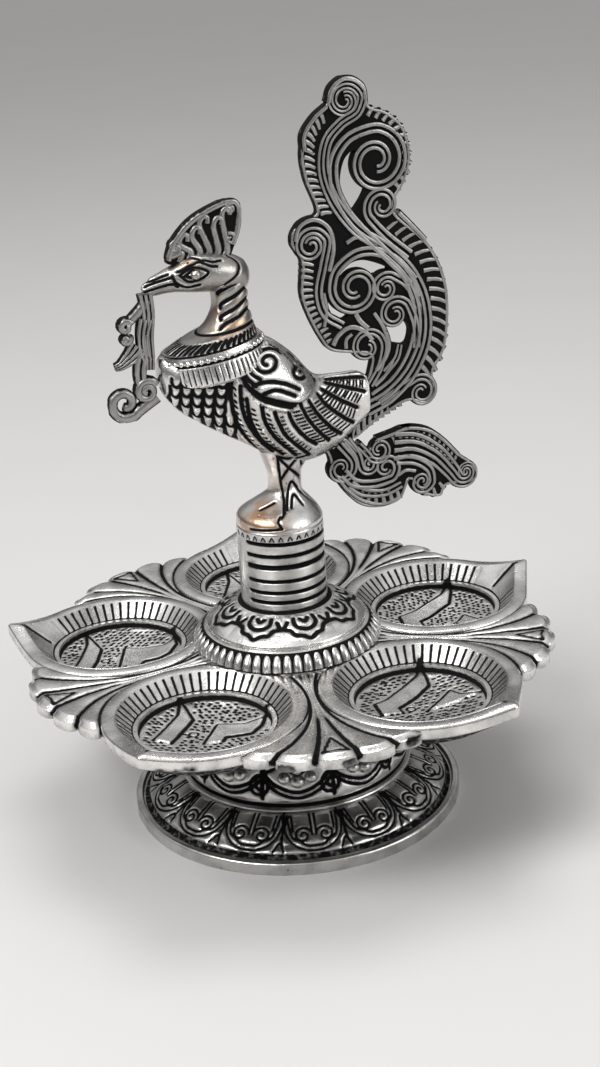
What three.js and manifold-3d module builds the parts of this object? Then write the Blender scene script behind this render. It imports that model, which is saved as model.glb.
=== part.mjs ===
// Peacock oil lamp: five lamp cups on a footed drum, a ringed post and a bird with a pierced tail.
// Millimetres, +Z up. The bird faces -X and its mid-plane holds the post's axis.
import * as THREE from "three";
import { mergeVertices } from "three/addons/utils/BufferGeometryUtils.js";
import Module from "manifold-3d";

const wasm = await Module();
wasm.setup();

// Clearances
const solderGap = 0.3; // between two castings that meet on curved faces
const studClearance = 0.3; // round the stud, all the way up

// Foot
const footRadius = 38.4;
const rimHeight = 3;
const rimWidth = 1.6;
const grooveDepth = 0.8;
const petalOuterRadius = 35.2;
const petalInnerRadius = 27.6;
const petalOuterHeight = 3.6;
const footHeight = 8.8;
const footWall = 2.6;
const footPetals = 14;
const footPetalRise = 0.7;

// Drum between foot and plate
const drumLipRadius = 27.1;
const drumLipHeight = 1.1;
const drumBulgeRadius = 26.6;
const drumNeckRadius = 16.4;
const drumWall = 2.6;
const drumLobes = 10;
const drumLobeRise = 1.3;

// Lamp plate
const plateTop = 40.5;
const webThickness = 2.6;
const cups = 5;
const firstCupAngle = 8; // degrees, from +X
const cupCentreRadius = 39.9;
const bowlRadius = 18.9;
const lipWidth = 3.1;
const bowlDepth = 4.9;
const bowlFloorRadius = 14.2;
const ledgeWidth = 1.1;
const ledgeHeight = 0.9;
const cupWall = 3;
const spoutLength = 4.8; // from the round of the lip to the spout's tip
const spoutRise = 2.3;
const floorDish = 0.9; // how far the middle of a cup's floor lies below its edge
const fanLeaves = 5;
const fanTipRadius = 61;
const fanTipFall = 0.6; // how much shorter the leaf beside the middle one is; it grows with the square
const fanSeam = 1.5; // how far a fan reaches into the lips beside it
const leafCrown = 0.7;
const leafSink = 0.8; // from the lips' face down to the joints between the leaves
const leafRise = 0.5; // of the tips over the root
const leafRound = 2.6;
const leafEndDrop = 0.9;

// Ring and dome on the plate
const ringOuterRadius = 21.6;
const ringInnerRadius = 15.2;
const ringHeight = 4.1;
const ringGadroons = 56;
const gadroonDepth = 0.5;
const domeRadius = 18.3;
const domeHeight = 5.6;
const domeWall = 2.6;
const domePetals = 10;
const domePetalRise = 0.6;

// Post
const postRadius = 10;
const postHeight = 18.8;
const postGrooves = [0.12, 0.245, 0.39, 0.57, 0.71, 0.86]; // shares of the post's height
const postGrooveDepth = 0.8;
const postGrooveWidth = 1.1;
const deepGroove = 3; // index of the groove that is cut half as deep again
const postStripAngle = 34; // degrees of plain strip, on the -X side

// Tie stud, washer and nut, size M4
const studRadius = 2;
const studBelowNut = 0.8;
const studInPost = 11;
const washerRadius = 4.5;
const washerThickness = 0.8;
const nutAcrossFlats = 7;
const nutHeight = 3.2;

// Bird
const bodyHalfWidth = 9.2;
const wingRise = 1.1;
const neckSeatTilt = 8; // degrees, higher towards the tail
const crestThickness = 3;
const vineThickness = 3.2;
const tailThickness = 2.4;
const scrollThickness = 3.4;
const scrollWidth = 1.9;
const edgeBevel = 0.35;

// Fineness of the facets
const spiralSteps = 8; // per turn of a scroll
const cupFacets = 20; // round each cup
const stepsPerLeaf = 4;
const fanStations = [0, 0.3, 0.5, 0.7, 0.86, 0.96, 1]; // shares of a leaf's length
const stepsPerPetal = 3;

// Heights that follow from the sizes above
const ringBase = plateTop;
const domeBase = ringBase + ringHeight;
const postBase = domeBase + domeHeight;
const postTop = postBase + postHeight;
const studHole = studRadius + studClearance;
const cupAngles = Array.from({ length: cups }, (_, i) => firstCupAngle + (i * 360) / cups);
const fanAngles = cupAngles.map((angle) => angle + 180 / cups);
const rad = THREE.MathUtils.degToRad;
const seatPoint = [-13, postTop + 42.6]; // middle of the neck's seat on the body
const rootTop = [23.3, postTop + 31.4]; // upper end of the seam between body and tail
const rootBottom = [18.6, postTop + 17];

// Closed mesh with shared corners and no collapsed triangles
function merged(geometry) {
  geometry.deleteAttribute("normal");
  geometry.deleteAttribute("uv");
  const joined = mergeVertices(geometry, 1e-4);
  const corners = joined.index.array;
  const kept = [];
  for (let i = 0; i < corners.length; i += 3) {
    const [a, b, c] = [corners[i], corners[i + 1], corners[i + 2]];
    if (a !== b && b !== c && c !== a) kept.push(a, b, c);
  }
  joined.setIndex(kept);
  return joined;
}

// Turns every face round when the mesh is inside out
function facingOut(geometry) {
  const p = geometry.attributes.position;
  const corners = Array.from(geometry.index.array);
  const [a, b, c] = [new THREE.Vector3(), new THREE.Vector3(), new THREE.Vector3()];
  let volume = 0;
  for (let i = 0; i < corners.length; i += 3) {
    a.fromBufferAttribute(p, corners[i]);
    b.fromBufferAttribute(p, corners[i + 1]);
    c.fromBufferAttribute(p, corners[i + 2]);
    volume += a.dot(b.cross(c));
  }
  if (volume < 0) {
    for (let i = 0; i < corners.length; i += 3) {
      [corners[i], corners[i + 1]] = [corners[i + 1], corners[i]];
    }
    geometry.setIndex(corners);
  }
  return geometry;
}

function solid(geometry) {
  const mesh = facingOut(merged(geometry));
  return new wasm.Manifold(new wasm.Mesh({
    numProp: 3,
    vertProperties: new Float32Array(mesh.attributes.position.array),
    triVerts: new Uint32Array(mesh.index.array),
  }));
}

function surface(manifold) {
  const mesh = manifold.getMesh();
  const geometry = new THREE.BufferGeometry();
  geometry.setAttribute("position", new THREE.BufferAttribute(mesh.vertProperties, 3));
  geometry.setIndex(new THREE.BufferAttribute(mesh.triVerts, 1));
  return geometry;
}

function joinAll(solids) {
  return solids.reduce((whole, next) => whole.add(next));
}

// Turns a profile about Z. profileAt(angle) lists [radius, height] from the axis below, round the
// outside and back to the axis above, or round a closed loop
function revolve(profileAt, steps) {
  const positions = [];
  const corners = [];
  const count = profileAt(0).length;
  for (let i = 0; i < steps; i++) {
    const angle = (2 * Math.PI * i) / steps;
    for (const [r, z] of profileAt(angle)) positions.push(r * Math.cos(angle), r * Math.sin(angle), z);
    for (let j = 0; j < count - 1; j++) {
      const a = i * count + j;
      const b = ((i + 1) % steps) * count + j;
      corners.push(a, b, b + 1, a, b + 1, a + 1);
    }
  }
  const geometry = new THREE.BufferGeometry();
  geometry.setAttribute("position", new THREE.Float32BufferAttribute(positions, 3));
  geometry.setIndex(corners);
  return geometry;
}

// Skins a row of rings, each a loop of the same number of points, and closes both ends
function loft(rings) {
  const count = rings[0].length;
  const points = rings.flat();
  const middle = (ring) => ring.reduce((sum, p) => sum.add(p), new THREE.Vector3()).divideScalar(count);
  const first = points.length;
  points.push(middle(rings[0]), middle(rings[rings.length - 1]));
  const corners = [];
  for (let j = 0; j < count; j++) {
    const k = (j + 1) % count;
    for (let i = 0; i < rings.length - 1; i++) {
      const [a, b] = [i * count, (i + 1) * count];
      corners.push(a + j, a + k, b + k, a + j, b + k, b + j);
    }
    const last = (rings.length - 1) * count;
    corners.push(first, k, j, first + 1, last + j, last + k);
  }
  const geometry = new THREE.BufferGeometry().setFromPoints(points);
  geometry.setIndex(corners);
  return geometry;
}

// Solid under a grid of top points, with walls from its border down to a flat base. Seen from above, a
// row's points run to the right and each row lies beyond the one before
function blockUnder(grid, base) {
  const [rows, columns] = [grid.length, grid[0].length];
  const at = (i, j) => i * columns + j;
  const corners = [];
  for (let i = 0; i < rows - 1; i++) {
    for (let j = 0; j < columns - 1; j++) {
      corners.push(at(i, j), at(i, j + 1), at(i + 1, j + 1), at(i, j), at(i + 1, j + 1), at(i + 1, j));
    }
  }
  const alongRow = Array.from({ length: columns - 1 }, (_, j) => j);
  const alongColumn = Array.from({ length: rows - 1 }, (_, i) => i);
  const border = [
    ...alongRow.map((j) => at(0, j)), ...alongColumn.map((i) => at(i, columns - 1)),
    ...alongRow.map((j) => at(rows - 1, columns - 1 - j)), ...alongColumn.map((i) => at(rows - 1 - i, 0)),
  ];
  const top = grid.flat();
  const low = border.map((k) => new THREE.Vector3(top[k].x, top[k].y, base));
  border.forEach((a, k) => {
    const next = (k + 1) % border.length;
    corners.push(top.length + k, top.length + next, border[next], top.length + k, border[next], a);
  });
  for (const face of THREE.ShapeUtils.triangulateShape(low, [])) {
    corners.push(...face.reverse().map((k) => top.length + k));
  }
  const geometry = new THREE.BufferGeometry().setFromPoints([...top, ...low]);
  geometry.setIndex(corners);
  return geometry;
}

// Ring of a loft: an oval with its own two half axes, both given as vectors
function oval(centre, halfA, halfB, sides) {
  return Array.from({ length: sides }, (_, i) => {
    const angle = (2 * Math.PI * i) / sides;
    return centre.clone().addScaledVector(halfA, Math.cos(angle)).addScaledVector(halfB, Math.sin(angle));
  });
}

// Shape drawn in the bird's plane from a smooth closed curve through [x, z] points
function smoothShape(points, divisions) {
  const curve = new THREE.CatmullRomCurve3(points.map(([x, z]) => new THREE.Vector3(x, z, 0)), true);
  return new THREE.Shape(curve.getPoints(divisions).slice(0, -1).map((p) => new THREE.Vector2(p.x, p.y)));
}

// Plate of a shape in the bird's plane, half its thickness on each side of the mid-plane
function midPlate(shape, thickness, bevel = 0) {
  const geometry = new THREE.ExtrudeGeometry(shape, {
    depth: thickness - 2 * bevel,
    bevelEnabled: bevel > 0,
    bevelThickness: bevel,
    bevelSize: bevel,
    bevelOffset: -bevel,
    bevelSegments: 1,
    steps: 1,
  });
  geometry.translate(0, 0, bevel - thickness / 2);
  geometry.rotateX(Math.PI / 2);
  return solid(geometry);
}

// Centre line of a scroll: a stem through [x, z] points that ends in a spiral of the given turns
// about a centre, anticlockwise when turns is positive
function scrollLine({ stem, centre, turns }) {
  const line = stem.map(([x, z]) => new THREE.Vector2(x, z));
  const end = line[line.length - 1];
  const start = Math.atan2(end.y - centre[1], end.x - centre[0]);
  const reach = Math.hypot(end.y - centre[1], end.x - centre[0]);
  const eye = 0.24;
  const steps = Math.ceil(Math.abs(turns) * spiralSteps);
  for (let i = 1; i <= steps; i++) {
    const t = i / steps;
    const angle = start + 2 * Math.PI * turns * t;
    const r = reach * (1 - (1 - eye) * t);
    line.push(new THREE.Vector2(centre[0] + r * Math.cos(angle), centre[1] + r * Math.sin(angle)));
  }
  return line;
}

// Flat band of a width that tapers towards its end, along a line of points in the bird's plane
function band(line, width, taper) {
  const left = [];
  const right = [];
  line.forEach((p, i) => {
    const ahead = line[Math.min(i + 1, line.length - 1)];
    const behind = line[Math.max(i - 1, 0)];
    const side = new THREE.Vector2(behind.y - ahead.y, ahead.x - behind.x).normalize();
    const half = (width / 2) * (1 - (taper * i) / (line.length - 1));
    left.push(p.clone().addScaledVector(side, half));
    right.unshift(p.clone().addScaledVector(side, -half));
  });
  return new THREE.Shape([...left, ...right]);
}

// Block that fills everything beyond a line in the bird's plane, on its left when looking from a to b
function beyond(a, b, clearance) {
  const size = 200;
  const slope = Math.atan2(b[1] - a[1], b[0] - a[0]);
  const block = new THREE.BoxGeometry(2 * size, size, size);
  block.translate(0, 0, size / 2 + clearance);
  block.rotateY(-slope);
  block.translate((a[0] + b[0]) / 2, 0, (a[1] + b[1]) / 2);
  return solid(block);
}

// Foot: plain rim, sunk ring, a band of petals and a flat top, hollow underneath
function makeFoot() {
  const step = (2 * Math.PI) / footPetals;
  const profile = (angle) => {
    const along = ((angle % step) + step) % step;
    const petal = Math.pow(Math.abs(Math.sin((Math.PI * along) / step)), 0.5) * footPetalRise;
    const middle = (petalOuterRadius + petalInnerRadius) / 2;
    const middleHeight = (petalOuterHeight + footHeight) / 2;
    return [
      [footRadius, 0], [footRadius, rimHeight - 0.4], [footRadius - 0.4, rimHeight],
      [footRadius - rimWidth, rimHeight], [footRadius - rimWidth - 0.3, rimHeight - grooveDepth],
      [petalOuterRadius - footPetalRise + petal, rimHeight - grooveDepth],
      [petalOuterRadius - footPetalRise + petal - 0.4, petalOuterHeight - footPetalRise + petal],
      [middle, middleHeight + petal],
      [petalInnerRadius, footHeight],
      [studHole, footHeight], [studHole, footHeight - footWall],
      [petalInnerRadius - footWall, footHeight - footWall],
      [footRadius - footWall, 0], [footRadius, 0],
    ];
  };
  return solid(revolve(profile, footPetals * stepsPerPetal));
}

// Drum: lip, bulged wall with rounded lobes and a narrow neck, open below
function makeDrum() {
  const top = plateTop - webThickness;
  const lipTop = footHeight + drumLipHeight;
  const at = (share) => lipTop + share * (top - lipTop);
  const step = (2 * Math.PI) / drumLobes;
  const profile = (angle) => {
    const along = ((angle % step) + step) % step;
    const lobe = Math.sqrt(Math.abs(Math.sin((Math.PI * along) / step))) * drumLobeRise;
    return [
      [drumLipRadius - 0.8, footHeight], [drumLipRadius, footHeight + 0.4], [drumLipRadius, lipTop - 0.3],
      [drumBulgeRadius - 1, lipTop], [drumBulgeRadius - 0.8 + lobe, at(0.14)],
      [drumBulgeRadius - 3.4 + lobe, at(0.36)], [drumNeckRadius + 2.4, at(0.57)],
      [drumNeckRadius, at(0.75)], [drumNeckRadius + 0.8, top],
      [studHole, top], [studHole, top - drumWall], [drumNeckRadius - drumWall, top - drumWall],
      [drumNeckRadius - drumWall, at(0.68)], [drumBulgeRadius - 3 - drumWall, at(0.32)],
      [drumBulgeRadius - 1 - drumWall, footHeight], [drumLipRadius - 0.8, footHeight],
    ];
  };
  return solid(revolve(profile, drumLobes * stepsPerPetal));
}

// Radius of a teardrop outline: a circle with a tip ahead of it, both sides straight
function teardrop(angle, radius, reach) {
  const turned = Math.abs(Math.atan2(Math.sin(angle), Math.cos(angle)));
  return radius / Math.cos(Math.max(0, Math.acos(radius / reach) - turned));
}

// One lamp cup: flat lip with a raised spout, sloping wall, ledge and dished floor
function makeCup(azimuth) {
  const lipRadius = bowlRadius + lipWidth;
  const profile = (angle) => {
    const lip = teardrop(angle, lipRadius, lipRadius + spoutLength);
    const inner = teardrop(angle, bowlRadius, bowlRadius + 0.87 * spoutLength);
    const rise = (spoutRise * (lip - lipRadius)) / spoutLength;
    const floor = plateTop - bowlDepth;
    const top = plateTop + rise;
    return [
      [0, floor - cupWall], [bowlFloorRadius, floor - cupWall + 0.3],
      [bowlRadius - 0.4, floor - cupWall + 2.2],
      [lip, plateTop - 2.4 + rise], [lip, top - 0.4], [lip - 0.4, top], [inner, top],
      [bowlFloorRadius + ledgeWidth, floor + ledgeHeight + 0.5],
      [bowlFloorRadius, floor + ledgeHeight + 0.4],
      [bowlFloorRadius - 0.2, floor], [bowlFloorRadius / 2, floor - 0.75 * floorDish], [0, floor - floorDish],
    ];
  };
  const cup = revolve(profile, cupFacets);
  cup.translate(cupCentreRadius, 0, 0);
  cup.rotateZ(rad(azimuth));
  return solid(cup);
}

// Fan between two cups: crowned bands that follow the lips and part into leaves with round ends. Its top
// points are counted across in leaves, from the middle one, and along in shares from root to tip
function makeFan(azimuth) {
  const half = fanLeaves / 2;
  const lipRadius = bowlRadius + lipWidth;
  const rootRadius = ringOuterRadius - 1;
  const cupBearing = Math.PI / cups;
  const point = (across, t) => {
    const fromCrown = 2 * (across + half - Math.floor(across + half)) - 1;
    const crown = Math.sqrt(1 - 0.9 * fromCrown * fromCrown);
    const tip = fanTipRadius - fanTipFall * across * across - leafRound * (1 - crown);
    const r = rootRadius + (tip - rootRadius) * t;
    const [x, y] = [cupCentreRadius * Math.cos(cupBearing), cupCentreRadius * Math.sin(cupBearing)];
    const halfClear = Math.hypot(r - x, y) - lipRadius;
    const share = Math.abs(across) / half;
    const away = lipRadius + halfClear * (1 - share) - fanSeam * share;
    // Past the lip's reach, or short of it, the border runs along the cup's own bearing
    const toCup = (r * r + cupCentreRadius ** 2 - away * away) / (2 * r * cupCentreRadius);
    const fromCup = Math.acos(Math.min(1, toCup));
    const bearing = rad(azimuth) + Math.sign(across) * (cupBearing - fromCup);
    const crownHeight = leafCrown * crown * Math.min(1, halfClear / (3 * half));
    const drop = leafSink - crownHeight - leafRise * t ** 3 + (t === 1 ? leafEndDrop : 0);
    return new THREE.Vector3(r * Math.cos(bearing), r * Math.sin(bearing), plateTop - drop);
  };
  const columns = Array.from({ length: fanLeaves * stepsPerLeaf + 1 }, (_, i) => half - i / stepsPerLeaf);
  const grid = fanStations.map((t) => columns.map((across) => point(across, t)));
  return solid(blockUnder(grid, plateTop - webThickness));
}

// Bowl of one cup as a solid, to clear what reaches into it
function bowlSpace(azimuth) {
  const floor = plateTop - bowlDepth;
  const space = revolve(() => [
    [0, floor], [bowlFloorRadius, floor], [bowlFloorRadius + ledgeWidth, floor + ledgeHeight + 0.5],
    [bowlRadius, plateTop], [bowlRadius, plateTop + spoutRise], [0, plateTop + spoutRise],
  ], cupFacets);
  space.translate(cupCentreRadius, 0, 0);
  space.rotateZ(rad(azimuth));
  return solid(space);
}

// Lamp plate: five cups and five fans round a disc, bored for the stud
function makePlate() {
  const centreDisc = solid(revolve(() => [
    [0, plateTop - webThickness], [ringOuterRadius, plateTop - webThickness], [ringOuterRadius, plateTop],
    [0, plateTop],
  ], 20));
  const cleared = joinAll([centreDisc, ...fanAngles.map(makeFan)])
    .subtract(joinAll(cupAngles.map(bowlSpace)))
    .add(joinAll(cupAngles.map(makeCup)));
  return cleared.subtract(studBore(plateTop - webThickness - 1, plateTop + 1));
}

function studBore(low, high) {
  const bore = new THREE.CylinderGeometry(studHole, studHole, high - low, 12);
  bore.rotateX(Math.PI / 2);
  bore.translate(0, 0, (low + high) / 2);
  return solid(bore);
}

// Ring of upright gadroons that slopes in to carry the dome
function makeRing() {
  const profile = (angle) => {
    const ridge = (gadroonDepth * (1 + Math.cos(ringGadroons * angle))) / 2 - gadroonDepth;
    return [
      [ringInnerRadius, ringBase], [ringOuterRadius + ridge, ringBase],
      [ringOuterRadius - 1 + ridge, ringBase + 0.54 * ringHeight], [domeRadius + 0.6, domeBase],
      [ringInnerRadius, domeBase], [ringInnerRadius, ringBase],
    ];
  };
  return solid(revolve(profile, ringGadroons * 2));
}

// Dome: polished lower band, then a skirt of raised petals, hollow below
function makeDome() {
  const at = (share) => domeBase + share * domeHeight;
  const step = (2 * Math.PI) / domePetals;
  const profile = (angle) => {
    const along = ((angle % step) + step) % step;
    const petal = Math.sqrt(Math.abs(Math.sin((Math.PI * along) / step))) * domePetalRise;
    return [
      [domeRadius, domeBase], [domeRadius, at(0.2)],
      [domeRadius - 1.6 + petal, at(0.38)], [domeRadius - 3.6 + petal, at(0.61) + petal / 2],
      [postRadius + 1.6, at(0.91)], [postRadius + 0.7, postBase],
      [studHole, postBase], [studHole, postBase - domeWall],
      [postRadius, postBase - domeWall - 0.2], [domeRadius - domeWall - 0.4, domeBase + 0.4],
      [domeRadius - domeWall - 0.4, domeBase], [domeRadius, domeBase],
    ];
  };
  return solid(revolve(profile, domePetals * stepsPerPetal));
}

// Post: turned bands between grooves, plain along one strip, with a blind hole for the stud
function makePost() {
  const profile = (angle) => {
    const fromStrip = Math.abs(Math.atan2(Math.sin(angle - Math.PI), Math.cos(angle - Math.PI)));
    const cut = THREE.MathUtils.smoothstep(fromStrip, rad(postStripAngle / 2), rad(postStripAngle / 2 + 10));
    const wall = [[postRadius - 0.5, postBase], [postRadius - 0.3, postBase + 0.4]];
    postGrooves.forEach((share, i) => {
      const height = share * postHeight;
      const depth = postGrooveDepth * (i === deepGroove ? 1.5 : 1) * cut;
      wall.push(
        [postRadius, postBase + height - postGrooveWidth / 2],
        [postRadius - depth, postBase + height],
        [postRadius, postBase + height + postGrooveWidth / 2],
      );
    });
    return [
      [0, postBase + studInPost + 0.6], [studHole, postBase + studInPost + 0.6], [studHole, postBase],
      ...wall, [postRadius, postTop - 0.4], [postRadius - 0.3, postTop], [0, postTop],
    ];
  };
  return solid(revolve(profile, 20));
}

function makeStud() {
  const low = footHeight - footWall - washerThickness - nutHeight - studBelowNut;
  const high = postBase + studInPost;
  const stud = new THREE.CylinderGeometry(studRadius, studRadius, high - low, 12);
  stud.rotateX(Math.PI / 2);
  stud.translate(0, 0, (low + high) / 2);
  return solid(stud);
}

function makeWasher() {
  const top = footHeight - footWall;
  return solid(revolve(() => [
    [studHole, top - washerThickness], [washerRadius, top - washerThickness], [washerRadius, top],
    [studHole, top], [studHole, top - washerThickness],
  ], 24));
}

function makeNut() {
  const top = footHeight - footWall - washerThickness;
  const nut = new THREE.CylinderGeometry(
    nutAcrossFlats / 2 / Math.cos(Math.PI / 6), nutAcrossFlats / 2 / Math.cos(Math.PI / 6), nutHeight, 6);
  nut.rotateX(Math.PI / 2);
  nut.translate(0, 0, top - nutHeight / 2);
  return solid(nut).subtract(studBore(top - nutHeight - 1, top + 1));
}

// Upright section of the bird across its length: x, lowest z, highest z, half width
function uprightRing([x, low, high, half], grow, sides) {
  const centre = new THREE.Vector3(x, 0, postTop + (low + high) / 2);
  const up = new THREE.Vector3(0, 0, (high - low) / 2 + grow);
  return oval(centre, new THREE.Vector3(0, half + grow, 0), up, sides);
}

// Point of the bird's plane, drawn with its height counted from the post's top
function lift([x, z]) {
  return [x, postTop + z];
}

// Heights in these sections count from the post's top
const bodySections = [
  [-24.9, 36, 38.4, 0.18], [-24.3, 33.2, 41, 0.36], [-21.5, 29.2, 42.4, 0.68], [-17, 25.6, 43.4, 0.9],
  [-11, 21.6, 43.8, 1], [-5, 17.8, 43.6, 1], [0, 14.2, 42.2, 0.95], [5, 12.8, 38.2, 0.84],
  [10, 13.2, 32.4, 0.64], [15, 15.2, 31.6, 0.44], [20, 18.8, 31.4, 0.3], [26, 22.8, 31, 0.22],
];

function bodyCore(grow) {
  const rings = bodySections.map(([x, low, high, share]) =>
    uprightRing([x, low, high, share * bodyHalfWidth], grow, 16));
  rings[0].forEach((p) => { p.x -= grow; });
  return solid(loft(rings));
}

// Outline of a wing's shield
const shieldOutline = [
  [-9.6, 38.2], [-6.4, 42], [-0.6, 41.8], [3.4, 38], [7.4, 33], [7.6, 30], [4, 28.2], [0, 27.2],
  [-5, 29.6], [-8.6, 33.6],
];

// Raised shields of both wings
function makeWingShields() {
  const shield = smoothShape(shieldOutline.map(lift), 16);
  return midPlate(shield, 4 * bodyHalfWidth).intersect(bodyCore(wingRise));
}

// Everything above the plane of the neck's seat
function aboveSeat() {
  const [x, z] = seatPoint;
  const slope = Math.tan(rad(neckSeatTilt));
  return beyond([x - 1, z - slope], [x + 1, z + slope], 0);
}

// Rings of the collar and neck, on planes parallel to the neck's seat: x, height above seat, halves
function tiltedRing([x, rise, halfX, halfY], sides) {
  const slope = rad(neckSeatTilt);
  const along = new THREE.Vector3(Math.cos(slope), 0, Math.sin(slope));
  const normal = new THREE.Vector3(-Math.sin(slope), 0, Math.cos(slope));
  const centre = new THREE.Vector3(seatPoint[0], 0, seatPoint[1])
    .addScaledVector(along, x - seatPoint[0]).addScaledVector(normal, rise);
  return oval(centre, along.multiplyScalar(halfX), new THREE.Vector3(0, halfY, 0), sides);
}

// Collar that the neck is soldered to
function collarCore(grow) {
  const rings = [
    [-12.6, -6.6, 11.6, bodyHalfWidth], [-12.6, -5.4, 12, bodyHalfWidth + 0.5],
    [-12.8, -1.4, 11.6, bodyHalfWidth - 0.2], [-12.8, 0, 11, bodyHalfWidth - 0.8],
  ];
  const ends = [-grow, 0, 0, grow];
  return solid(loft(rings.map(([x, rise, halfX, halfY], i) =>
    tiltedRing([x, rise + ends[i], halfX + grow, halfY + grow], 20))));
}

function makeBody() {
  return joinAll([bodyCore(0), makeWingShields(), collarCore(0)])
    .subtract(aboveSeat())
    .subtract(beyond(rootTop, rootBottom, 0));
}

// Head: skull and beak in upright sections that share the bird's mid-plane
const skullSections = [
  [-3.4, 54.6, 58.4, 1.6], [-4.6, 53.4, 60, 3.2], [-8, 53.6, 61.6, 4.6], [-12.5, 53.8, 62.4, 5],
  [-16.5, 54.2, 62, 4.4], [-19.6, 54.6, 60.4, 3], [-22, 54.6, 59.4, 2.2], [-24.8, 54.4, 58.2, 1.6],
  [-26.6, 55.2, 56.8, 0.7],
];

function headCore(grow) {
  const rings = skullSections.map((section) => uprightRing(section, grow, 14));
  rings[0].forEach((p) => { p.x += grow; });
  rings[rings.length - 1].forEach((p) => { p.x -= grow; });
  return solid(loft(rings));
}

function makeNeckAndHead() {
  const neck = solid(loft([
    tiltedRing([-12.8, solderGap, 10.6, bodyHalfWidth - 1.2], 16),
    tiltedRing([-11.6, 1.4, 9.2, 7.4], 16), tiltedRing([-8.6, 3.2, 6, 5.6], 16),
    tiltedRing([-7.2, 6, 4.4, 4.4], 16), tiltedRing([-6.4, 9, 4, 4], 16), tiltedRing([-6.4, 14, 4.2, 4], 16),
  ]));
  return neck.add(headCore(0));
}

// Crest: a fan-shaped leaf standing on the skull
function makeCrest() {
  const outline = [
    [-21, 61], [-19.4, 64.6], [-15.4, 68.8], [-10.4, 71.4], [-6, 72.6], [-4.2, 71.2], [-4.6, 66.6],
    [-6.2, 62.6], [-8.4, 59.6], [-14, 60],
  ];
  const leaf = smoothShape(outline.map(lift), 24);
  return midPlate(leaf, crestThickness, edgeBevel).subtract(headCore(solderGap));
}

// Vine from the beak to the breast: a long leaf, a bead, a bud, a ring and a scroll
function makeVine() {
  const strip = (points, width, taper) =>
    band(points.map(lift).map(([x, z]) => new THREE.Vector2(x, z)), width, taper);
  const leaf = smoothShape([
    [-25.4, 55.6], [-23.6, 54.6], [-24.3, 50], [-25, 43], [-25.4, 38.6], [-27.4, 39.4], [-29.6, 45.4],
    [-28.6, 49.8], [-26.4, 53],
  ].map(lift), 14);
  const bud = smoothShape([
    [-28.2, 45.6], [-30.4, 44.4], [-34.3, 40.6], [-31.4, 39.2], [-28.4, 40],
  ].map(lift), 10);
  const arm = strip([[-26.6, 53.4], [-28.4, 50.6], [-30.4, 49.4]], 1.7, 0.2);
  const stem = strip([[-27.6, 43.6], [-28.8, 39.4], [-28.6, 35.6]], 2.6, 0.1);
  const curl = scrollLine({
    stem: [[-26.4, 32.6], [-29.6, 30.4]].map(lift),
    centre: lift([-32.7, 32.4]),
    turns: -1.1,
  });
  const inset = 0.3; // how far the stems lie behind the leaf's faces
  const pieces = [
    midPlate(leaf, vineThickness, edgeBevel), midPlate(bud, vineThickness, edgeBevel),
    ...[arm, stem, band(curl, 1.9, 0.2)].map((shape) => midPlate(shape, vineThickness - 2 * inset)),
    roundBoss(lift([-31, 48.8]), 1.9), roundBoss(lift([-27.7, 34.4]), 3.1),
  ];
  return joinAll(pieces).subtract(headCore(solderGap)).subtract(bodyAndCollarEnvelope());
}

// Round boss of the vine, through its whole thickness
function roundBoss([x, z], radius) {
  const boss = new THREE.CylinderGeometry(radius, radius, vineThickness, 14);
  boss.translate(x, 0, z);
  return solid(boss);
}

// Body and collar grown by the solder gap, to cut what is soldered to them
function bodyAndCollarEnvelope() {
  return bodyCore(solderGap).add(collarCore(solderGap));
}

// A plume: plate with holes, and scrolls that stand proud of both faces
function makePlume({ outline, divisions, holes, scrolls }) {
  const shape = smoothShape(outline.map(lift), divisions);
  holes.forEach((hole) => shape.holes.push(smoothShape(hole.map(lift), Math.round(1.5 * hole.length))));
  const lines = scrolls.map(({ stem, centre, turns }) =>
    scrollLine({ stem: stem.map(lift), centre: lift(centre), turns }));
  return joinAll([
    midPlate(shape, tailThickness),
    ...lines.map((line) => midPlate(band(line, scrollWidth, 0.45), scrollThickness)),
  ]);
}

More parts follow.
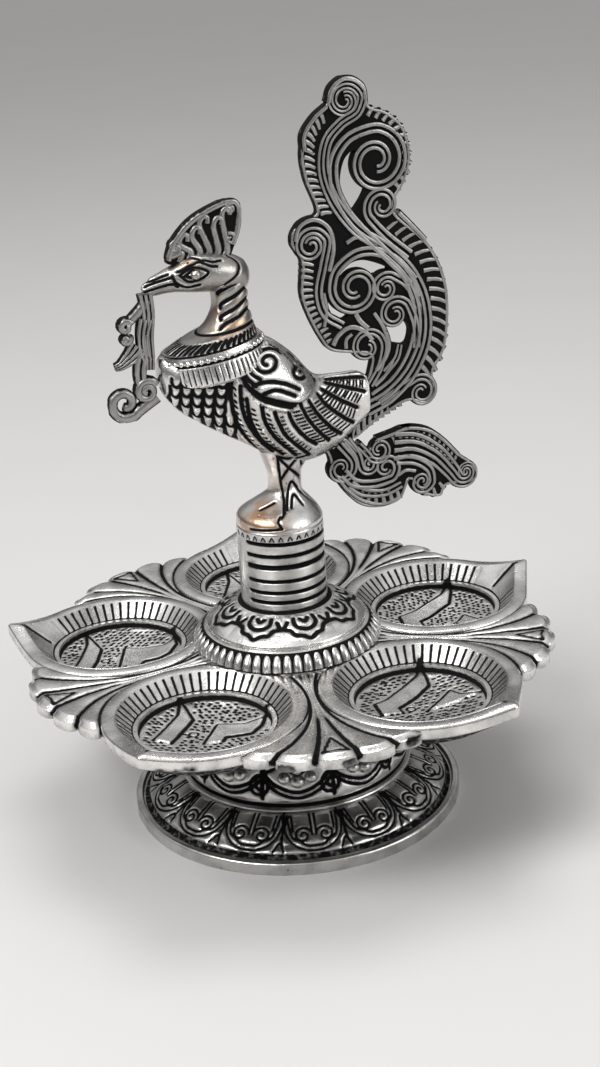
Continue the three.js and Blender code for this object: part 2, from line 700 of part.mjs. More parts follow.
// Heights in the plumes count from the post's top
const tail = {
  divisions: 76,
  outline: [
    [18, 16], [24.6, 19.6], [31.6, 22.6], [36, 21.4], [38.8, 24], [38.2, 28.2], [41.2, 33.4], [42.4, 41],
    [42.2, 47.4], [40.6, 53.2], [37.2, 58.8], [31, 64.8], [30.6, 68], [33, 71.6], [34.6, 77], [33.4, 83],
    [29.6, 86.8], [25.6, 88.6], [24.8, 93.2], [21, 95], [17.6, 92.8], [16, 89.6], [12.4, 86.4], [10, 81],
    [10.4, 75], [12.6, 68.6], [12, 66.8], [7.6, 64.8], [6.5, 61.4], [8.6, 57.2], [8, 51], [9, 46.4],
    [11.6, 40.4], [14.2, 37], [19.4, 35.6], [23.2, 34.6], [23.2, 31.6], [20.6, 24],
  ],
  holes: [
    [
      [22.2, 79.6], [19.6, 78], [18.3, 73.6], [18.8, 69.4], [20.4, 67.2], [21.8, 67.6], [24.2, 71.8],
      [21.9, 75.6],
    ],
    [[17.3, 52.9], [18.4, 55], [22.4, 56], [27.6, 54], [28.2, 53], [24, 52.4], [21, 53.6]],
    [[13.6, 49.8], [16.4, 47.8], [19.1, 45.6], [17.8, 43.6], [15, 44.8]],
    [[27.4, 40.4], [30.8, 41.5], [32.9, 39.4], [31.8, 35.9], [28, 37.2]],
  ],
  scrolls: [
    {
      stem: [
        [21.6, 22.4], [27.5, 24.8], [33, 29.8], [36.3, 36.8], [36.3, 44.8], [33.5, 51.8], [28, 57.8],
        [21.5, 62.8], [16.8, 69.3], [15, 75.8], [16, 81.8], [19.5, 85.3], [23, 87.4], [24.2, 90.3],
      ],
      centre: [20.2, 90.1],
      turns: 1.4,
    },
    {
      stem: [[24, 62.3], [19.8, 67.3], [17.3, 72.8], [17.6, 78.3], [21, 82.3], [26, 83.6]],
      centre: [26.6, 76.8],
      turns: -1.75,
    },
    { stem: [[33.5, 55.8], [28.5, 60.3], [25, 64.3]], centre: [27.6, 67.2], turns: -1.4 },
    {
      stem: [[17, 42.3], [13.2, 45.3], [12, 50.3], [13.3, 55.8], [14.2, 60.8]],
      centre: [10.9, 60.6],
      turns: 1.4,
    },
    {
      stem: [[30.5, 54.3], [26, 57.2], [21, 57.6], [16.6, 54.8], [15.2, 51.3]],
      centre: [20.6, 50.1],
      turns: 1.5,
    },
    { stem: [[35, 43.8], [33, 48.8], [29.8, 51.4]], centre: [27.6, 49.1], turns: 1.25 },
    { stem: [[34.3, 34.8], [34.4, 39.8], [33, 44.3]], centre: [29.5, 43.1], turns: 1.25 },
    { stem: [[22.8, 27.8], [25.2, 31.3], [26.4, 34.8]], centre: [22.6, 36.6], turns: 1.25 },
    { stem: [[25, 23.3], [29, 25.4], [33, 27.3]], centre: [35.2, 24.3], turns: -1.25 },
  ],
};

const lowerPlume = {
  divisions: 44,
  outline: [
    [11.6, 15.4], [14.6, 17.6], [17.6, 15.6], [19.4, 13.2], [22, 13], [24, 15], [27.6, 15.8], [31.5, 16.8],
    [36.4, 15.6], [40.4, 12.6], [44.2, 8], [47.2, 5.4], [48.6, 2.4], [46.6, 0.6], [42.4, 1], [40.2, 0.6],
    [39.2, -1.4], [36, -0.8], [33.6, 1.4], [31.6, 4], [30.6, 2.2], [29, -0.4], [24.6, -1.4], [19.6, -0.2],
    [15.8, 3.6], [13, 8.6], [12.4, 12.2],
  ],
  holes: [],
  scrolls: [
    { stem: [[19.4, 14.4], [21.5, 11.8]], centre: [24.3, 12.2], turns: 1.2 },
    { stem: [[14.8, 15.4], [17.3, 12]], centre: [14.9, 9.6], turns: -1.25 },
    { stem: [[16.6, 16.2], [19, 12.3], [19.7, 9.3]], centre: [21.8, 9.4], turns: 1.2 },
    { stem: [[15.5, 8.3], [18, 5.6], [22.5, 4.6], [26.8, 5.1]], centre: [25.8, 7.9], turns: 1.1 },
    { stem: [[28.5, 9.3], [33, 8.3], [36.3, 5.8], [37, 3.1]], centre: [34.5, 3], turns: -1.2 },
    { stem: [[28, 12.3], [33, 11.8], [38, 8.8], [41.5, 4.6], [43.6, 2]], centre: [45.4, 3.4], turns: 1.1 },
  ],
};

function makeTail() {
  const bodySide = beyond(rootBottom, rootTop, -solderGap);
  return makePlume(tail).subtract(bodyCore(solderGap).intersect(bodySide));
}

function makeLowerPlume() {
  return makePlume(lowerPlume).subtract(bodyAndCollarEnvelope());
}

// Perch: a hood on the post that narrows into the bird's legs and stops just below the belly
function makePerch() {
  const ring = (rise, x, halfX, halfY) => {
    const centre = new THREE.Vector3(x, 0, postTop + rise);
    return oval(centre, new THREE.Vector3(halfX, 0, 0), new THREE.Vector3(0, halfY, 0), 16);
  };
  const hood = solid(loft([
    ring(0, 0, postRadius - 0.3, postRadius - 0.3), ring(0.9, 0, postRadius - 0.2, postRadius - 0.4),
    ring(2.6, -0.2, 9, 8.4), ring(4.6, 0.6, 6.6, 6), ring(6.4, 1.5, 4.3, 4.4), ring(8, 1.8, 3.8, 3.6),
    ring(11, 1.9, 3.9, 3.4), ring(13.4, 2.2, 4.9, 3.8), ring(17, 2.2, 6, 4.4),
  ]));
  return hood.subtract(bodyAndCollarEnvelope());
}

const silver = { color: 0xc9c7c2, roughness: 0.32, metalness: 1 };
const darkSilver = { color: 0x8d8b88, roughness: 0.4, metalness: 1 };
const brass = { color: 0xb59a6a, roughness: 0.35, metalness: 1 };
const steel = { color: 0x8f9296, roughness: 0.35, metalness: 1 };

function piece(name, manifold, finish) {
  const mesh = new THREE.Mesh(surface(manifold), new THREE.MeshStandardMaterial(finish));
  mesh.name = name;
  return mesh;
}

const lamp = new THREE.Group();
lamp.add(
  piece("foot", makeFoot(), darkSilver),
  piece("drum", makeDrum(), darkSilver),
  piece("lamp_plate", makePlate(), silver),
  piece("gadroon_ring", makeRing(), silver),
  piece("lotus_dome", makeDome(), silver),
  piece("ringed_post", makePost(), silver),
  piece("perch", makePerch(), silver),
  piece("body", makeBody(), silver),
  piece("neck_and_head", makeNeckAndHead(), silver),
  piece("crest", makeCrest(), silver),
  piece("vine", makeVine(), silver),
  piece("tail_plume", makeTail(), darkSilver),
  piece("lower_plume", makeLowerPlume(), darkSilver),
  piece("tie_stud", makeStud(), steel),
  piece("washer", makeWasher(), brass),
  piece("nut", makeNut(), brass),
);

// The five-fold plate reaches further to one side, so the middle of the lamp's outline is off the post's axis
const middle = new THREE.Box3().setFromObject(lamp).getCenter(new THREE.Vector3());
lamp.position.set(-middle.x, -middle.y, 0);

export default lamp;
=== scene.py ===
"""Looks of a cast and blackened silver peacock lamp, built piece by piece around its solids.

Lengths are millimetres about the axis of the lamp's post until a piece is finished. Then the piece is moved
into the frame of the solids, in metres.
"""
from __future__ import annotations

import logging
import math
from dataclasses import dataclass, field
from enum import Enum
from typing import Callable, Sequence

import bmesh
import bpy
import numpy as np
from mathutils import Matrix, Vector


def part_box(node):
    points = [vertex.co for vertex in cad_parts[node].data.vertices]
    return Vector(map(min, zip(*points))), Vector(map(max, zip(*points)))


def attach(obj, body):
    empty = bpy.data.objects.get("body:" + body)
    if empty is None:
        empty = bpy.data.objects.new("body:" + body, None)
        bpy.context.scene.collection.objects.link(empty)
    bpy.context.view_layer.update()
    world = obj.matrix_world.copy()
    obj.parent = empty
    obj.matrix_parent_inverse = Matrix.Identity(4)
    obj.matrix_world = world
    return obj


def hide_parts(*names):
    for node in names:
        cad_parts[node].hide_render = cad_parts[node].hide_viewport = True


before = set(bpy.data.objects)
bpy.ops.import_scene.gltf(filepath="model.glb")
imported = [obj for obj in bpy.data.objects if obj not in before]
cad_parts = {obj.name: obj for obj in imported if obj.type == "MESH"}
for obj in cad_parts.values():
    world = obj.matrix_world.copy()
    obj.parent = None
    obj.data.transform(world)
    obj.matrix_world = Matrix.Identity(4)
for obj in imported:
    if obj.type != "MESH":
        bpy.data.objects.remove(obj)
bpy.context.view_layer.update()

MM = 0.001
LOG = logging.getLogger("lamp")
UP = np.array([0.0, 0.0, 1.0])
ACROSS = np.array([0.0, 1.0, 0.0])
# Attribute of how deep a point lies in a recess that the black patina fills; under the cups and on the bands'
# flanks it carries painted shade
RECESS_AND_SHADE = "recess"
WALL_RECESS = 0.3
BACK_RECESS = 0.25
GROUND_RECESS = 0.7
TURN = 2 * math.pi
POST_TOP = 69.0
PLATE_TOP = 40.5
RING_BASE = PLATE_TOP
DOME_BASE = 44.6
DOME_TOP = 50.2
FOOT_TOP = 8.8
STUD_HOLE = 2.3
CAST_WALL = 2.6
SOOT = (0.01, 0.01, 0.01)
PATINA = (0.006, 0.006, 0.0065)

Two = tuple[float, float]
Three = tuple[float, float, float]
Points = Sequence[Sequence[float]]
Array = np.ndarray
Pair = tuple[Array, Array]
Lines = list[Array]
Object = bpy.types.Object
Material = bpy.types.Material
Tree = bpy.types.NodeTree
Socket = bpy.types.NodeSocket


class Slot(Enum):
    """Material slots of the record."""

    SILVER = "silver"
    DARK_SILVER = "dark_silver"
    BRASS = "brass"
    STEEL = "steel"


class Pivot(Enum):
    """Axis that a repeated motif turns about while it follows its path."""

    UPRIGHT = "Z"
    SIDEWAYS = "Y"


def post_axis() -> Array:
    """Place of the post's axis in the part's frame, in metres."""
    low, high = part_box("washer")
    return np.array([(low.x + high.x) / 2, (low.y + high.y) / 2, 0.0])


# Lines and shapes


def smooth(points: Points, spacing: float = 0.3, closed: bool = False) -> Array:
    """Even points on a smooth curve through the given ones.

    Args:
        points: points of any dimension.
        spacing: distance between the points that come out.
        closed: whether the curve returns to its first point.

    Returns:
        The points in order; a closed curve ends where it starts.
    """
    p = np.asarray(points, float)
    if closed:
        p = np.vstack([p[-1], p, p[0], p[1]])
    else:
        p = np.vstack([2 * p[0] - p[1], p, 2 * p[-1] - p[-2]])
    t = np.linspace(0, 1, 10, endpoint=False)[:, None]
    spans = []
    for a, b, c, d in zip(p, p[1:], p[2:], p[3:]):
        square, cube = 2 * a - 5 * b + 4 * c - d, 3 * b - a - 3 * c + d
        spans.append(0.5 * (2 * b + (c - a) * t + square * t**2 + cube * t**3))
    return even(np.vstack([*spans, p[-2:-1]]), spacing)


def run_along(line: Array) -> Array:
    """Distance from the start of a line to each of its points."""
    return np.concatenate([[0], np.cumsum(np.linalg.norm(np.diff(line, axis=0), axis=1))])


def even(line: Array, spacing: float) -> Array:
    """Points at even distances along a polyline."""
    run = run_along(line)
    places = np.linspace(0, run[-1], max(2, round(run[-1] / spacing) + 1))
    return np.stack([np.interp(places, run, line[:, k]) for k in range(line.shape[1])], 1)


def angles(count: int) -> Array:
    """Even angles all round."""
    return np.linspace(0, TURN, count, endpoint=False)


def polar(angle: Array, radius: float | Array, *rest: float | Array) -> Array:
    """Points at angles and radii about zero, with any further coordinates."""
    return np.stack(np.broadcast_arrays(radius * np.cos(angle), radius * np.sin(angle), *rest), -1)


def spiral(stem: Points, centre: Sequence[float], turns: float, eye: float = 0.24,
           spacing: float = 0.4) -> Array:
    """Line of a stem that winds into a scroll.

    Args:
        stem: points of the stem, which ends where the winding starts.
        centre: middle of the scroll.
        turns: turns of the winding, negative for clockwise.
        eye: radius at the end as a share of the radius at the start.
        spacing: distance between the points.

    Returns:
        Even points along the stem and the winding.
    """
    end = np.asarray(stem[-1], float) - centre
    start, reach = math.atan2(end[1], end[0]), math.hypot(*end)
    t = np.linspace(0, 1, max(8, int(abs(turns) * 14)))[1:]
    angle = start + TURN * turns * t
    r = reach * (1 - (1 - eye) * t)
    return smooth(np.vstack([np.asarray(stem, float), centre + polar(angle, r)]), spacing)


def curl(centre: Sequence[float], radius: float, start: float, turns: float) -> Array:
    """Small flat spiral that winds into its centre."""
    t = np.linspace(0, 1, max(8, int(abs(turns) * 16)))
    return centre + polar(start + TURN * turns * t, radius * (1 - 0.8 * t))


def circle(centre: Sequence[float], radius: float, count: int) -> Array:
    """Points on a level circle, which ends where it starts."""
    return centre + polar(np.linspace(0, TURN, count), radius)


def mirrored(lines: Sequence[Points]) -> Lines:
    """Each line and its image on the other side of zero."""
    return [np.asarray(line, float) * (side, 1) for line in lines for side in (1, -1)]


def spread(line: Points) -> Array:
    """Line that starts at zero, led back over its image on the other side."""
    half = np.asarray(line, float)
    return np.vstack([(half * (-1, 1))[::-1], half[1:]])


def inside(points: Array, outline: Array) -> Array:
    """Which level points lie inside an outline, by counting crossings."""
    x, y = points[:, 0], points[:, 1]
    odd = np.zeros(len(points), bool)
    for (x0, y0), (x1, y1) in zip(outline, np.roll(outline, -1, axis=0)):
        if y0 != y1:
            odd ^= ((y0 > y) != (y1 > y)) & (x < (x1 - x0) * (y - y0) / (y1 - y0) + x0)
    return odd


def turned(points: Array, angle: float) -> Array:
    """Points turned about the upright axis."""
    c, s = math.cos(angle), math.sin(angle)
    out = np.array(points, float)
    x, y = points[..., 0], points[..., 1]
    out[..., 0], out[..., 1] = c * x - s * y, s * x + c * y
    return out


def step(x: Array, low: float, high: float) -> Array:
    """Smooth step from 0 at low to 1 at high."""
    t = np.clip((x - low) / (high - low), 0, 1)
    return t * t * (3 - 2 * t)


def ridges(phase: Array) -> Pair:
    """Round ridges, one per whole number of the phase.

    Args:
        phase: position across the ridges; whole numbers are the valleys between them.

    Returns:
        Height from 0 to 1, and how deep each point lies in a valley, from 0 to 1.
    """
    q = 2 * (phase - np.floor(phase)) - 1
    return np.sqrt(np.clip(1 - 0.9 * q * q, 0, 1)), np.clip((np.abs(q) - 0.45) / 0.55, 0, 1)


# Meshes


def placed(name: str, data: bpy.types.ID) -> Object:
    """New object of the scene."""
    obj = bpy.data.objects.new(name, data)
    bpy.context.scene.collection.objects.link(obj)
    return obj


@dataclass
class Shell:
    """Points, faces and how deep in a recess each point lies, with painted shade on the cups' outsides and
    the bands' flanks.
    """

    points: Array
    faces: list[tuple[int, ...]]
    recess: Array

    def __add__(self, other: "Shell") -> "Shell":
        """Both shells as one."""
        shift = len(self.points)
        faces = self.faces + [tuple(i + shift for i in face) for face in other.faces]
        recess = np.concatenate([self.recess, other.recess])
        return Shell(np.vstack([self.points, other.points]), faces, recess)

    def moved(self, change: Callable[[Array], Array]) -> "Shell":
        """Copy with its points changed by a function."""
        return Shell(change(self.points), self.faces, self.recess)

    def as_object(self, name: str) -> Object:
        """Object of this shell, with its double points merged and its faces turned outwards."""
        mesh = bpy.data.meshes.new(name)
        mesh.from_pydata(self.points.tolist(), [], self.faces)
        layer = mesh.attributes.new(RECESS_AND_SHADE, "FLOAT", "POINT")
        layer.data.foreach_set("value", self.recess.astype(np.float32))
        work = bmesh.new()
        work.from_mesh(mesh)
        bmesh.ops.remove_doubles(work, verts=work.verts, dist=1e-4)
        bmesh.ops.dissolve_degenerate(work, edges=work.edges, dist=1e-5)
        bmesh.ops.recalc_face_normals(work, faces=work.faces)
        work.to_mesh(mesh)
        work.free()
        return placed(name, mesh)


def grid(points: Array, recess: Array, close_rows: bool = True) -> Shell:
    """Shell of a net of points whose columns close on themselves.

    Args:
        points: net of shape rows, columns, 3.
        recess: how deep each point lies, of shape rows, columns.
        close_rows: whether the last row joins the first; otherwise each end closes on its middle.
    """
    if not close_rows:
        caps = [np.repeat(end.mean(0)[None, None], points.shape[1], 1) for end in (points[0], points[-1])]
        points = np.concatenate([caps[0], points, caps[1]])
        recess = np.concatenate([recess[:1], recess, recess[-1:]])
    rows, columns = recess.shape
    i = np.arange(rows if close_rows else rows - 1)[:, None]
    j = np.arange(columns)[None, :]
    a, b = (i % rows) * columns, ((i + 1) % rows) * columns
    k = (j + 1) % columns
    quads = np.stack(np.broadcast_arrays(a + j, a + k, b + k, b + j), -1).reshape(-1, 4)
    return Shell(points.reshape(-1, 3), [tuple(q) for q in quads.tolist()], recess.ravel())


def block_under(top: Array, recess: Array, base: float) -> Shell:
    """Shell under a net of top points, with walls from its border down to a flat base."""
    index = np.arange(recess.size).reshape(recess.shape)
    quads = np.stack([index[:-1, :-1], index[:-1, 1:], index[1:, 1:], index[1:, :-1]], -1).reshape(-1, 4)
    border = np.concatenate([index[0, :-1], index[:-1, -1], index[-1, :0:-1], index[:0:-1, 0]])
    points = top.reshape(-1, 3)
    low = np.column_stack([points[border][:, :2], np.full(len(border), base)])
    foot = recess.size + np.arange(len(border))
    walls = np.stack([border, np.roll(border, -1), np.roll(foot, -1), foot], -1)
    faces = [tuple(face) for face in np.vstack([quads, walls]).tolist()] + [tuple(foot.tolist())]
    deep = np.concatenate([recess.ravel(), np.full(len(border), WALL_RECESS)])
    return Shell(np.vstack([points, low]), faces, deep)


def total(shells: Sequence[Shell]) -> Shell:
    """All shells as one."""
    result = shells[0]
    for shell in shells[1:]:
        result = result + shell
    return result


@dataclass
class Ribbon:
    """Raised band with rounded ridges along it.

    Attributes:
        width: widths at the start and at the end.
        height: heights of the crown at the start and at the end.
        depth: how far it reaches below its line; None makes it the same on both faces.
        ridges: ridges side by side.
        cut: depth of the valleys between the ridges, as a share of the height.
        shade: how far the black of the valleys climbs the ridges, partly patina and partly painted shade on
            their flanks.
        steps: faces across each ridge.
    """

    width: Two
    height: Two
    depth: float | None = None
    ridges: int = 1
    cut: float = 0.3
    shade: float = 1.45
    steps: int = 6

    def along(self, line: Array, up: Array = UP) -> Shell:
        """Shell of the band along a line of points in space."""
        count = len(line)
        share = np.linspace(0, 1, count)[:, None]
        tangent = np.gradient(line, axis=0)
        side = np.cross(tangent, np.broadcast_to(up, line.shape))
        side /= np.linalg.norm(side, axis=1, keepdims=True) + 1e-9
        half = (self.width[0] + (self.width[1] - self.width[0]) * share) / 2
        tall = self.height[0] + (self.height[1] - self.height[0]) * share
        t = np.linspace(-1, 1, self.steps * self.ridges + 1)
        crown, _ = ridges((t + 1) / 2 * self.ridges * 0.9999 + 0.00005)
        # Painted shade on the ridges' flanks, which joins the black patina of the valleys
        shade = np.clip(self.shade * (1 - crown), 0, 1)
        shade[[0, -1]] = 0.45
        top = tall * (1 - self.cut + self.cut * crown)
        top[:, [0, -1]] = tall * (1 - self.cut) * 0.8
        base = -top if self.depth is None else np.full_like(top, -self.depth)
        levels = np.concatenate([top, base[:, ::-1]], 1)
        spread = np.concatenate([t, t[::-1]])[None, :] * half
        points = line[:, None] + side[:, None] * spread[..., None] + up * levels[..., None]
        deep = np.concatenate([shade, shade[::-1] if self.depth is None else np.ones_like(shade)])
        return grid(points, np.repeat(deep[None], count, 0), close_rows=False)

    def flat(self, line: Array) -> Shell:
        """Shell of the band along a line of the bird's plane."""
        return self.along(in_plane(line), ACROSS)


def in_plane(line: Array) -> Array:
    """Points of the bird's plane, as x and height, in space."""
    return np.column_stack([line[:, 0], np.zeros(len(line)), line[:, 1]])


def bead(centre: Sequence[float], radius: float, squash: float = 1.0, sides: int = 10) -> Shell:
    """Small ball, flattened along Z by a share."""
    rows = np.linspace(-math.pi / 2, math.pi / 2, sides // 2 + 2)[1:-1, None]
    around = angles(sides)
    points = centre + polar(around, radius * np.cos(rows), radius * squash * np.sin(rows))
    return grid(points, np.zeros(points.shape[:2]), close_rows=False)


def wires(lines: Lines) -> Object:
    """Loose edges along several lines, as one object."""
    points, edges = [], []
    for line in lines:
        edges += [(len(points) + i, len(points) + i + 1) for i in range(len(line) - 1)]
        points += line.tolist()
    mesh = bpy.data.meshes.new("lines")
    mesh.from_pydata(points, edges, [])
    return placed("lines", mesh)


def plate(name: str, outline: Array, holes: Lines, thickness: float) -> Object:
    """Pierced plate in the bird's plane, half its thickness on each side of it.

    Args:
        name: name of the object.
        outline: closed outline, as x and height.
        holes: outlines of the openings.
        thickness: thickness of the plate.

    Returns:
        Object whose faces and walls are all black ground.
    """
    data = bpy.data.curves.new(name, "CURVE")
    data.dimensions, data.fill_mode, data.extrude = "2D", "BOTH", thickness / 2
    for line in [outline, *holes]:
        spline = data.splines.new("POLY")
        spline.points.add(len(line) - 2)
        for point, (x, z) in zip(spline.points, line[:-1]):
            point.co = (x, z, 0, 1)
        spline.use_cyclic_u = True
    flat = placed(name, data)
    obj = placed(name, evaluated_mesh(flat))
    bpy.data.objects.remove(flat)
    obj.data.transform(Matrix.Rotation(math.pi / 2, 4, "X"))
    work = bmesh.new()
    work.from_mesh(obj.data)
    bmesh.ops.remove_doubles(work, verts=work.verts, dist=1e-4)
    bmesh.ops.recalc_face_normals(work, faces=work.faces)
    layer = work.verts.layers.float.new(RECESS_AND_SHADE)
    for vert in work.verts:
        vert[layer] = GROUND_RECESS
    work.to_mesh(obj.data)
    work.free()
    return obj


def evaluated_mesh(obj: Object) -> bpy.types.Mesh:
    """Plain mesh of an object with its modifiers applied."""
    graph = bpy.context.evaluated_depsgraph_get()
    return bpy.data.meshes.new_from_object(
        obj.evaluated_get(graph), preserve_all_data_layers=True, depsgraph=graph)


# Node trees


def put(tree: Tree, kind: str, inputs: dict | None = None, **settings) -> bpy.types.Node:
    """Adds a node to a tree.

    Args:
        tree: the tree.
        kind: type of the node.
        inputs: values, sockets or nodes, which stand for their first output, by name or number.
        settings: properties of the node.

    Returns:
        The new node.
    """
    node = tree.nodes.new(kind)
    for key, value in settings.items():
        setattr(node, key, value)
    for key, value in (inputs or {}).items():
        value = value.outputs[0] if isinstance(value, bpy.types.Node) else value
        if isinstance(value, Socket):
            tree.links.new(value, node.inputs[key])
        else:
            node.inputs[key].default_value = value
    return node


def calc(tree: Tree, operation: str, *values: object) -> Socket:
    """Output of a Math node."""
    return put(tree, "ShaderNodeMath", dict(enumerate(values)), operation=operation).outputs[0]


def smooth_range(tree: Tree, value: object, low: float, high: float) -> Socket:
    """Smooth step of a value from 0 at low to 1 at high."""
    inputs = {"Value": value, "From Min": low, "From Max": high}
    return put(tree, "ShaderNodeMapRange", inputs, interpolation_type="SMOOTHSTEP").outputs["Result"]


def blend(tree: Tree, factor: object, low: object, high: object) -> Socket:
    """Colour between two others."""
    return put(tree, "ShaderNodeMix", {0: factor, 6: low, 7: high}, data_type="RGBA").outputs[2]


def noise(tree: Tree, scale: float, detail: float) -> Socket:
    """Cloudy value fixed to the object."""
    place = put(tree, "ShaderNodeTexCoord").outputs["Object"]
    return put(tree, "ShaderNodeTexNoise", {"Vector": place, "Scale": scale, "Detail": detail}).outputs[0]


def shaded(rgb: Sequence[float], share: float = 1.0) -> tuple[float, ...]:
    """Share of a colour, with its opacity."""
    return (*(share * c for c in rgb), 1)


def new_material(name: str) -> tuple[Material, Tree, bpy.types.Node]:
    """New material with its tree and its Principled shader."""
    material = bpy.data.materials.new(name)
    material.use_nodes = True
    return material, material.node_tree, material.node_tree.nodes["Principled BSDF"]


def new_tree(name: str, kind: str, ins: dict[str, str], outs: dict[str, str]) -> tuple:
    """Empty node group.

    Args:
        name: name of the group.
        kind: type of the tree.
        ins: name and type of each of its inputs; a type is named without its first part.
        outs: name and type of each of its outputs.

    Returns:
        The tree, the sockets that give its inputs and the sockets that take its outputs.
    """
    tree = bpy.data.node_groups.new(name, kind)
    for way, sockets in (("INPUT", ins), ("OUTPUT", outs)):
        for title, socket in sockets.items():
            tree.interface.new_socket(title, in_out=way, socket_type=f"NodeSocket{socket}")
    return tree, tree.nodes.new("NodeGroupInput").outputs, tree.nodes.new("NodeGroupOutput").inputs


class Workshop:
    """Geometry trees of the chaser's two tools, a graver and a row of punched or soldered motifs."""

    def __init__(self) -> None:
        """Builds the trees once."""
        self.graver = self._graver()
        self.rows = {pivot: self._row(pivot) for pivot in Pivot}

    @staticmethod
    def _graver() -> Tree:
        """Tree that cuts a groove along lines that repeat about the post's axis."""
        tree, given, result = new_tree(
            "Graver", "GeometryNodeTree",
            {"Geometry": "Geometry", "Lines": "Object", "Copies": "Int", "Width": "Float", "Depth": "Float",
             "Finish": "Material"},
            {"Geometry": "Geometry"})
        lines = put(tree, "GeometryNodeObjectInfo", {"Object": given["Lines"]})
        places = put(tree, "GeometryNodeMeshLine", {"Count": given["Copies"], "Offset": (0, 0, 0)})
        turn = calc(tree, "DIVIDE", TURN, given["Copies"])
        turn = calc(tree, "MULTIPLY", turn, put(tree, "GeometryNodeInputIndex"))
        spin = put(tree, "ShaderNodeCombineXYZ", {"Z": turn})
        copies = put(tree, "GeometryNodeInstanceOnPoints", {
            "Points": places, "Instance": lines.outputs["Geometry"], "Rotation": spin})
        real = put(tree, "GeometryNodeRealizeInstances", {0: copies})
        near = put(tree, "GeometryNodeProximity", {0: real}, target_element="EDGES")
        ratio = calc(tree, "DIVIDE", near.outputs["Distance"], given["Width"])
        share = put(tree, "ShaderNodeClamp", {"Value": calc(tree, "SUBTRACT", 1.0, ratio)}).outputs[0]
        held = put(tree, "GeometryNodeInputNamedAttribute", {"Name": RECESS_AND_SHADE}, data_type="FLOAT")
        deeper = calc(tree, "MAXIMUM", held.outputs["Attribute"], share)
        marked = put(tree, "GeometryNodeStoreNamedAttribute", {
            "Geometry": given["Geometry"], "Name": RECESS_AND_SHADE, "Value": deeper}, data_type="FLOAT")
        depth = calc(tree, "MULTIPLY", smooth_range(tree, share, 0, 1), given["Depth"])
        down = put(tree, "ShaderNodeVectorMath", {
            0: put(tree, "GeometryNodeInputNormal"), "Scale": calc(tree, "MULTIPLY", depth, -1.0)},
            operation="SCALE")
        cut = put(tree, "GeometryNodeSetPosition", {0: marked, "Offset": down})
        return Workshop._closed(tree, cut, given["Finish"], result[0])

    @staticmethod
    def _closed(tree: Tree, last: bpy.types.Node, finish: Socket, result: Socket) -> Tree:
        """Tree with its two closing steps: plain geometry, dressed in the finish."""
        plain = put(tree, "GeometryNodeRealizeInstances", {0: last})
        dressed = put(tree, "GeometryNodeSetMaterial", {0: plain, "Material": finish})
        tree.links.new(dressed.outputs[0], result)
        return tree

    @staticmethod
    def _row(pivot: Pivot) -> Tree:
        """Tree that sets a motif in an even row along a path and joins the row to the piece."""
        tree, given, result = new_tree(
            f"Row {pivot.value}", "GeometryNodeTree",
            {"Geometry": "Geometry", "Path": "Object", "Motif": "Object", "Count": "Int",
             "First size": "Float", "Last size": "Float", "Finish": "Material"},
            {"Geometry": "Geometry"})
        path = put(tree, "GeometryNodeObjectInfo", {"Object": given["Path"]})
        motif = put(tree, "GeometryNodeObjectInfo", {"Object": given["Motif"], "As Instance": True})
        curve = put(tree, "GeometryNodeMeshToCurve", {0: path.outputs["Geometry"]})
        places = put(tree, "GeometryNodeResampleCurve", {"Curve": curve, "Count": given["Count"]})
        tangent = put(tree, "GeometryNodeInputTangent")
        aligned = put(tree, "FunctionNodeAlignRotationToVector", {"Vector": tangent}, axis="X",
                      pivot_axis=pivot.value)
        along = put(tree, "GeometryNodeSplineParameter").outputs["Factor"]
        size = put(tree, "ShaderNodeMapRange", {
            "Value": along, "To Min": given["First size"], "To Max": given["Last size"]})
        copies = put(tree, "GeometryNodeInstanceOnPoints", {
            "Points": places, "Instance": motif.outputs["Geometry"], "Rotation": aligned, "Scale": size})
        real = put(tree, "GeometryNodeRealizeInstances", {0: copies})
        both = put(tree, "GeometryNodeJoinGeometry")
        tree.links.new(real.outputs[0], both.inputs[0])
        tree.links.new(given["Geometry"], both.inputs[0])
        return Workshop._closed(tree, both, given["Finish"], result[0])

    @staticmethod
    def _run(obj: Object, tree: Tree, values: dict, helpers: list) -> None:
        """Runs a tree on a piece, keeps the plain mesh and removes the helpers."""
        modifier = obj.modifiers.new("work", "NODES")
        modifier.node_group = tree
        for item in tree.interface.items_tree:
            if item.in_out == "INPUT" and item.name in values:
                modifier[item.identifier] = values[item.name]
        mesh = evaluated_mesh(obj)
        obj.modifiers.remove(modifier)
        obj.data = mesh
        for helper in helpers:
            bpy.data.objects.remove(helper)

    def engrave(self, obj: Object, lines: Lines, width: float, depth: float,
                finish: Material, copies: int = 1) -> None:
        """Cuts grooves along lines.

        Args:
            obj: the piece.
            lines: lines on its surface.
            width: half width of the groove.
            depth: depth of the groove.
            finish: material of the piece.
            copies: how many times the lines repeat about the post's axis.
        """
        art = wires(lines)
        values = {"Lines": art, "Copies": copies, "Width": width, "Depth": depth, "Finish": finish}
        self._run(obj, self.graver, values, [art])

    def set_row(self, obj: Object, path: Array, motif: Shell, count: int,
                finish: Material, pivot: Pivot, sizes: Two = (1.0, 1.0)) -> None:
        """Joins a row of motifs to a piece.

        Args:
            obj: the piece.
            path: line that the motifs follow; their X axis points along it.
            motif: the motif, about its own origin.
            count: how many there are.
            finish: material of the piece.
            pivot: axis that stays as it is while a motif turns.
            sizes: scale of the first and last motif.
        """
        line, shape = wires([path]), motif.as_object("motif")
        values = {"Path": line, "Motif": shape, "Count": count, "Finish": finish,
                  "First size": sizes[0], "Last size": sizes[1]}
        self._run(obj, self.rows[pivot], values, [line, shape])


# Finishes


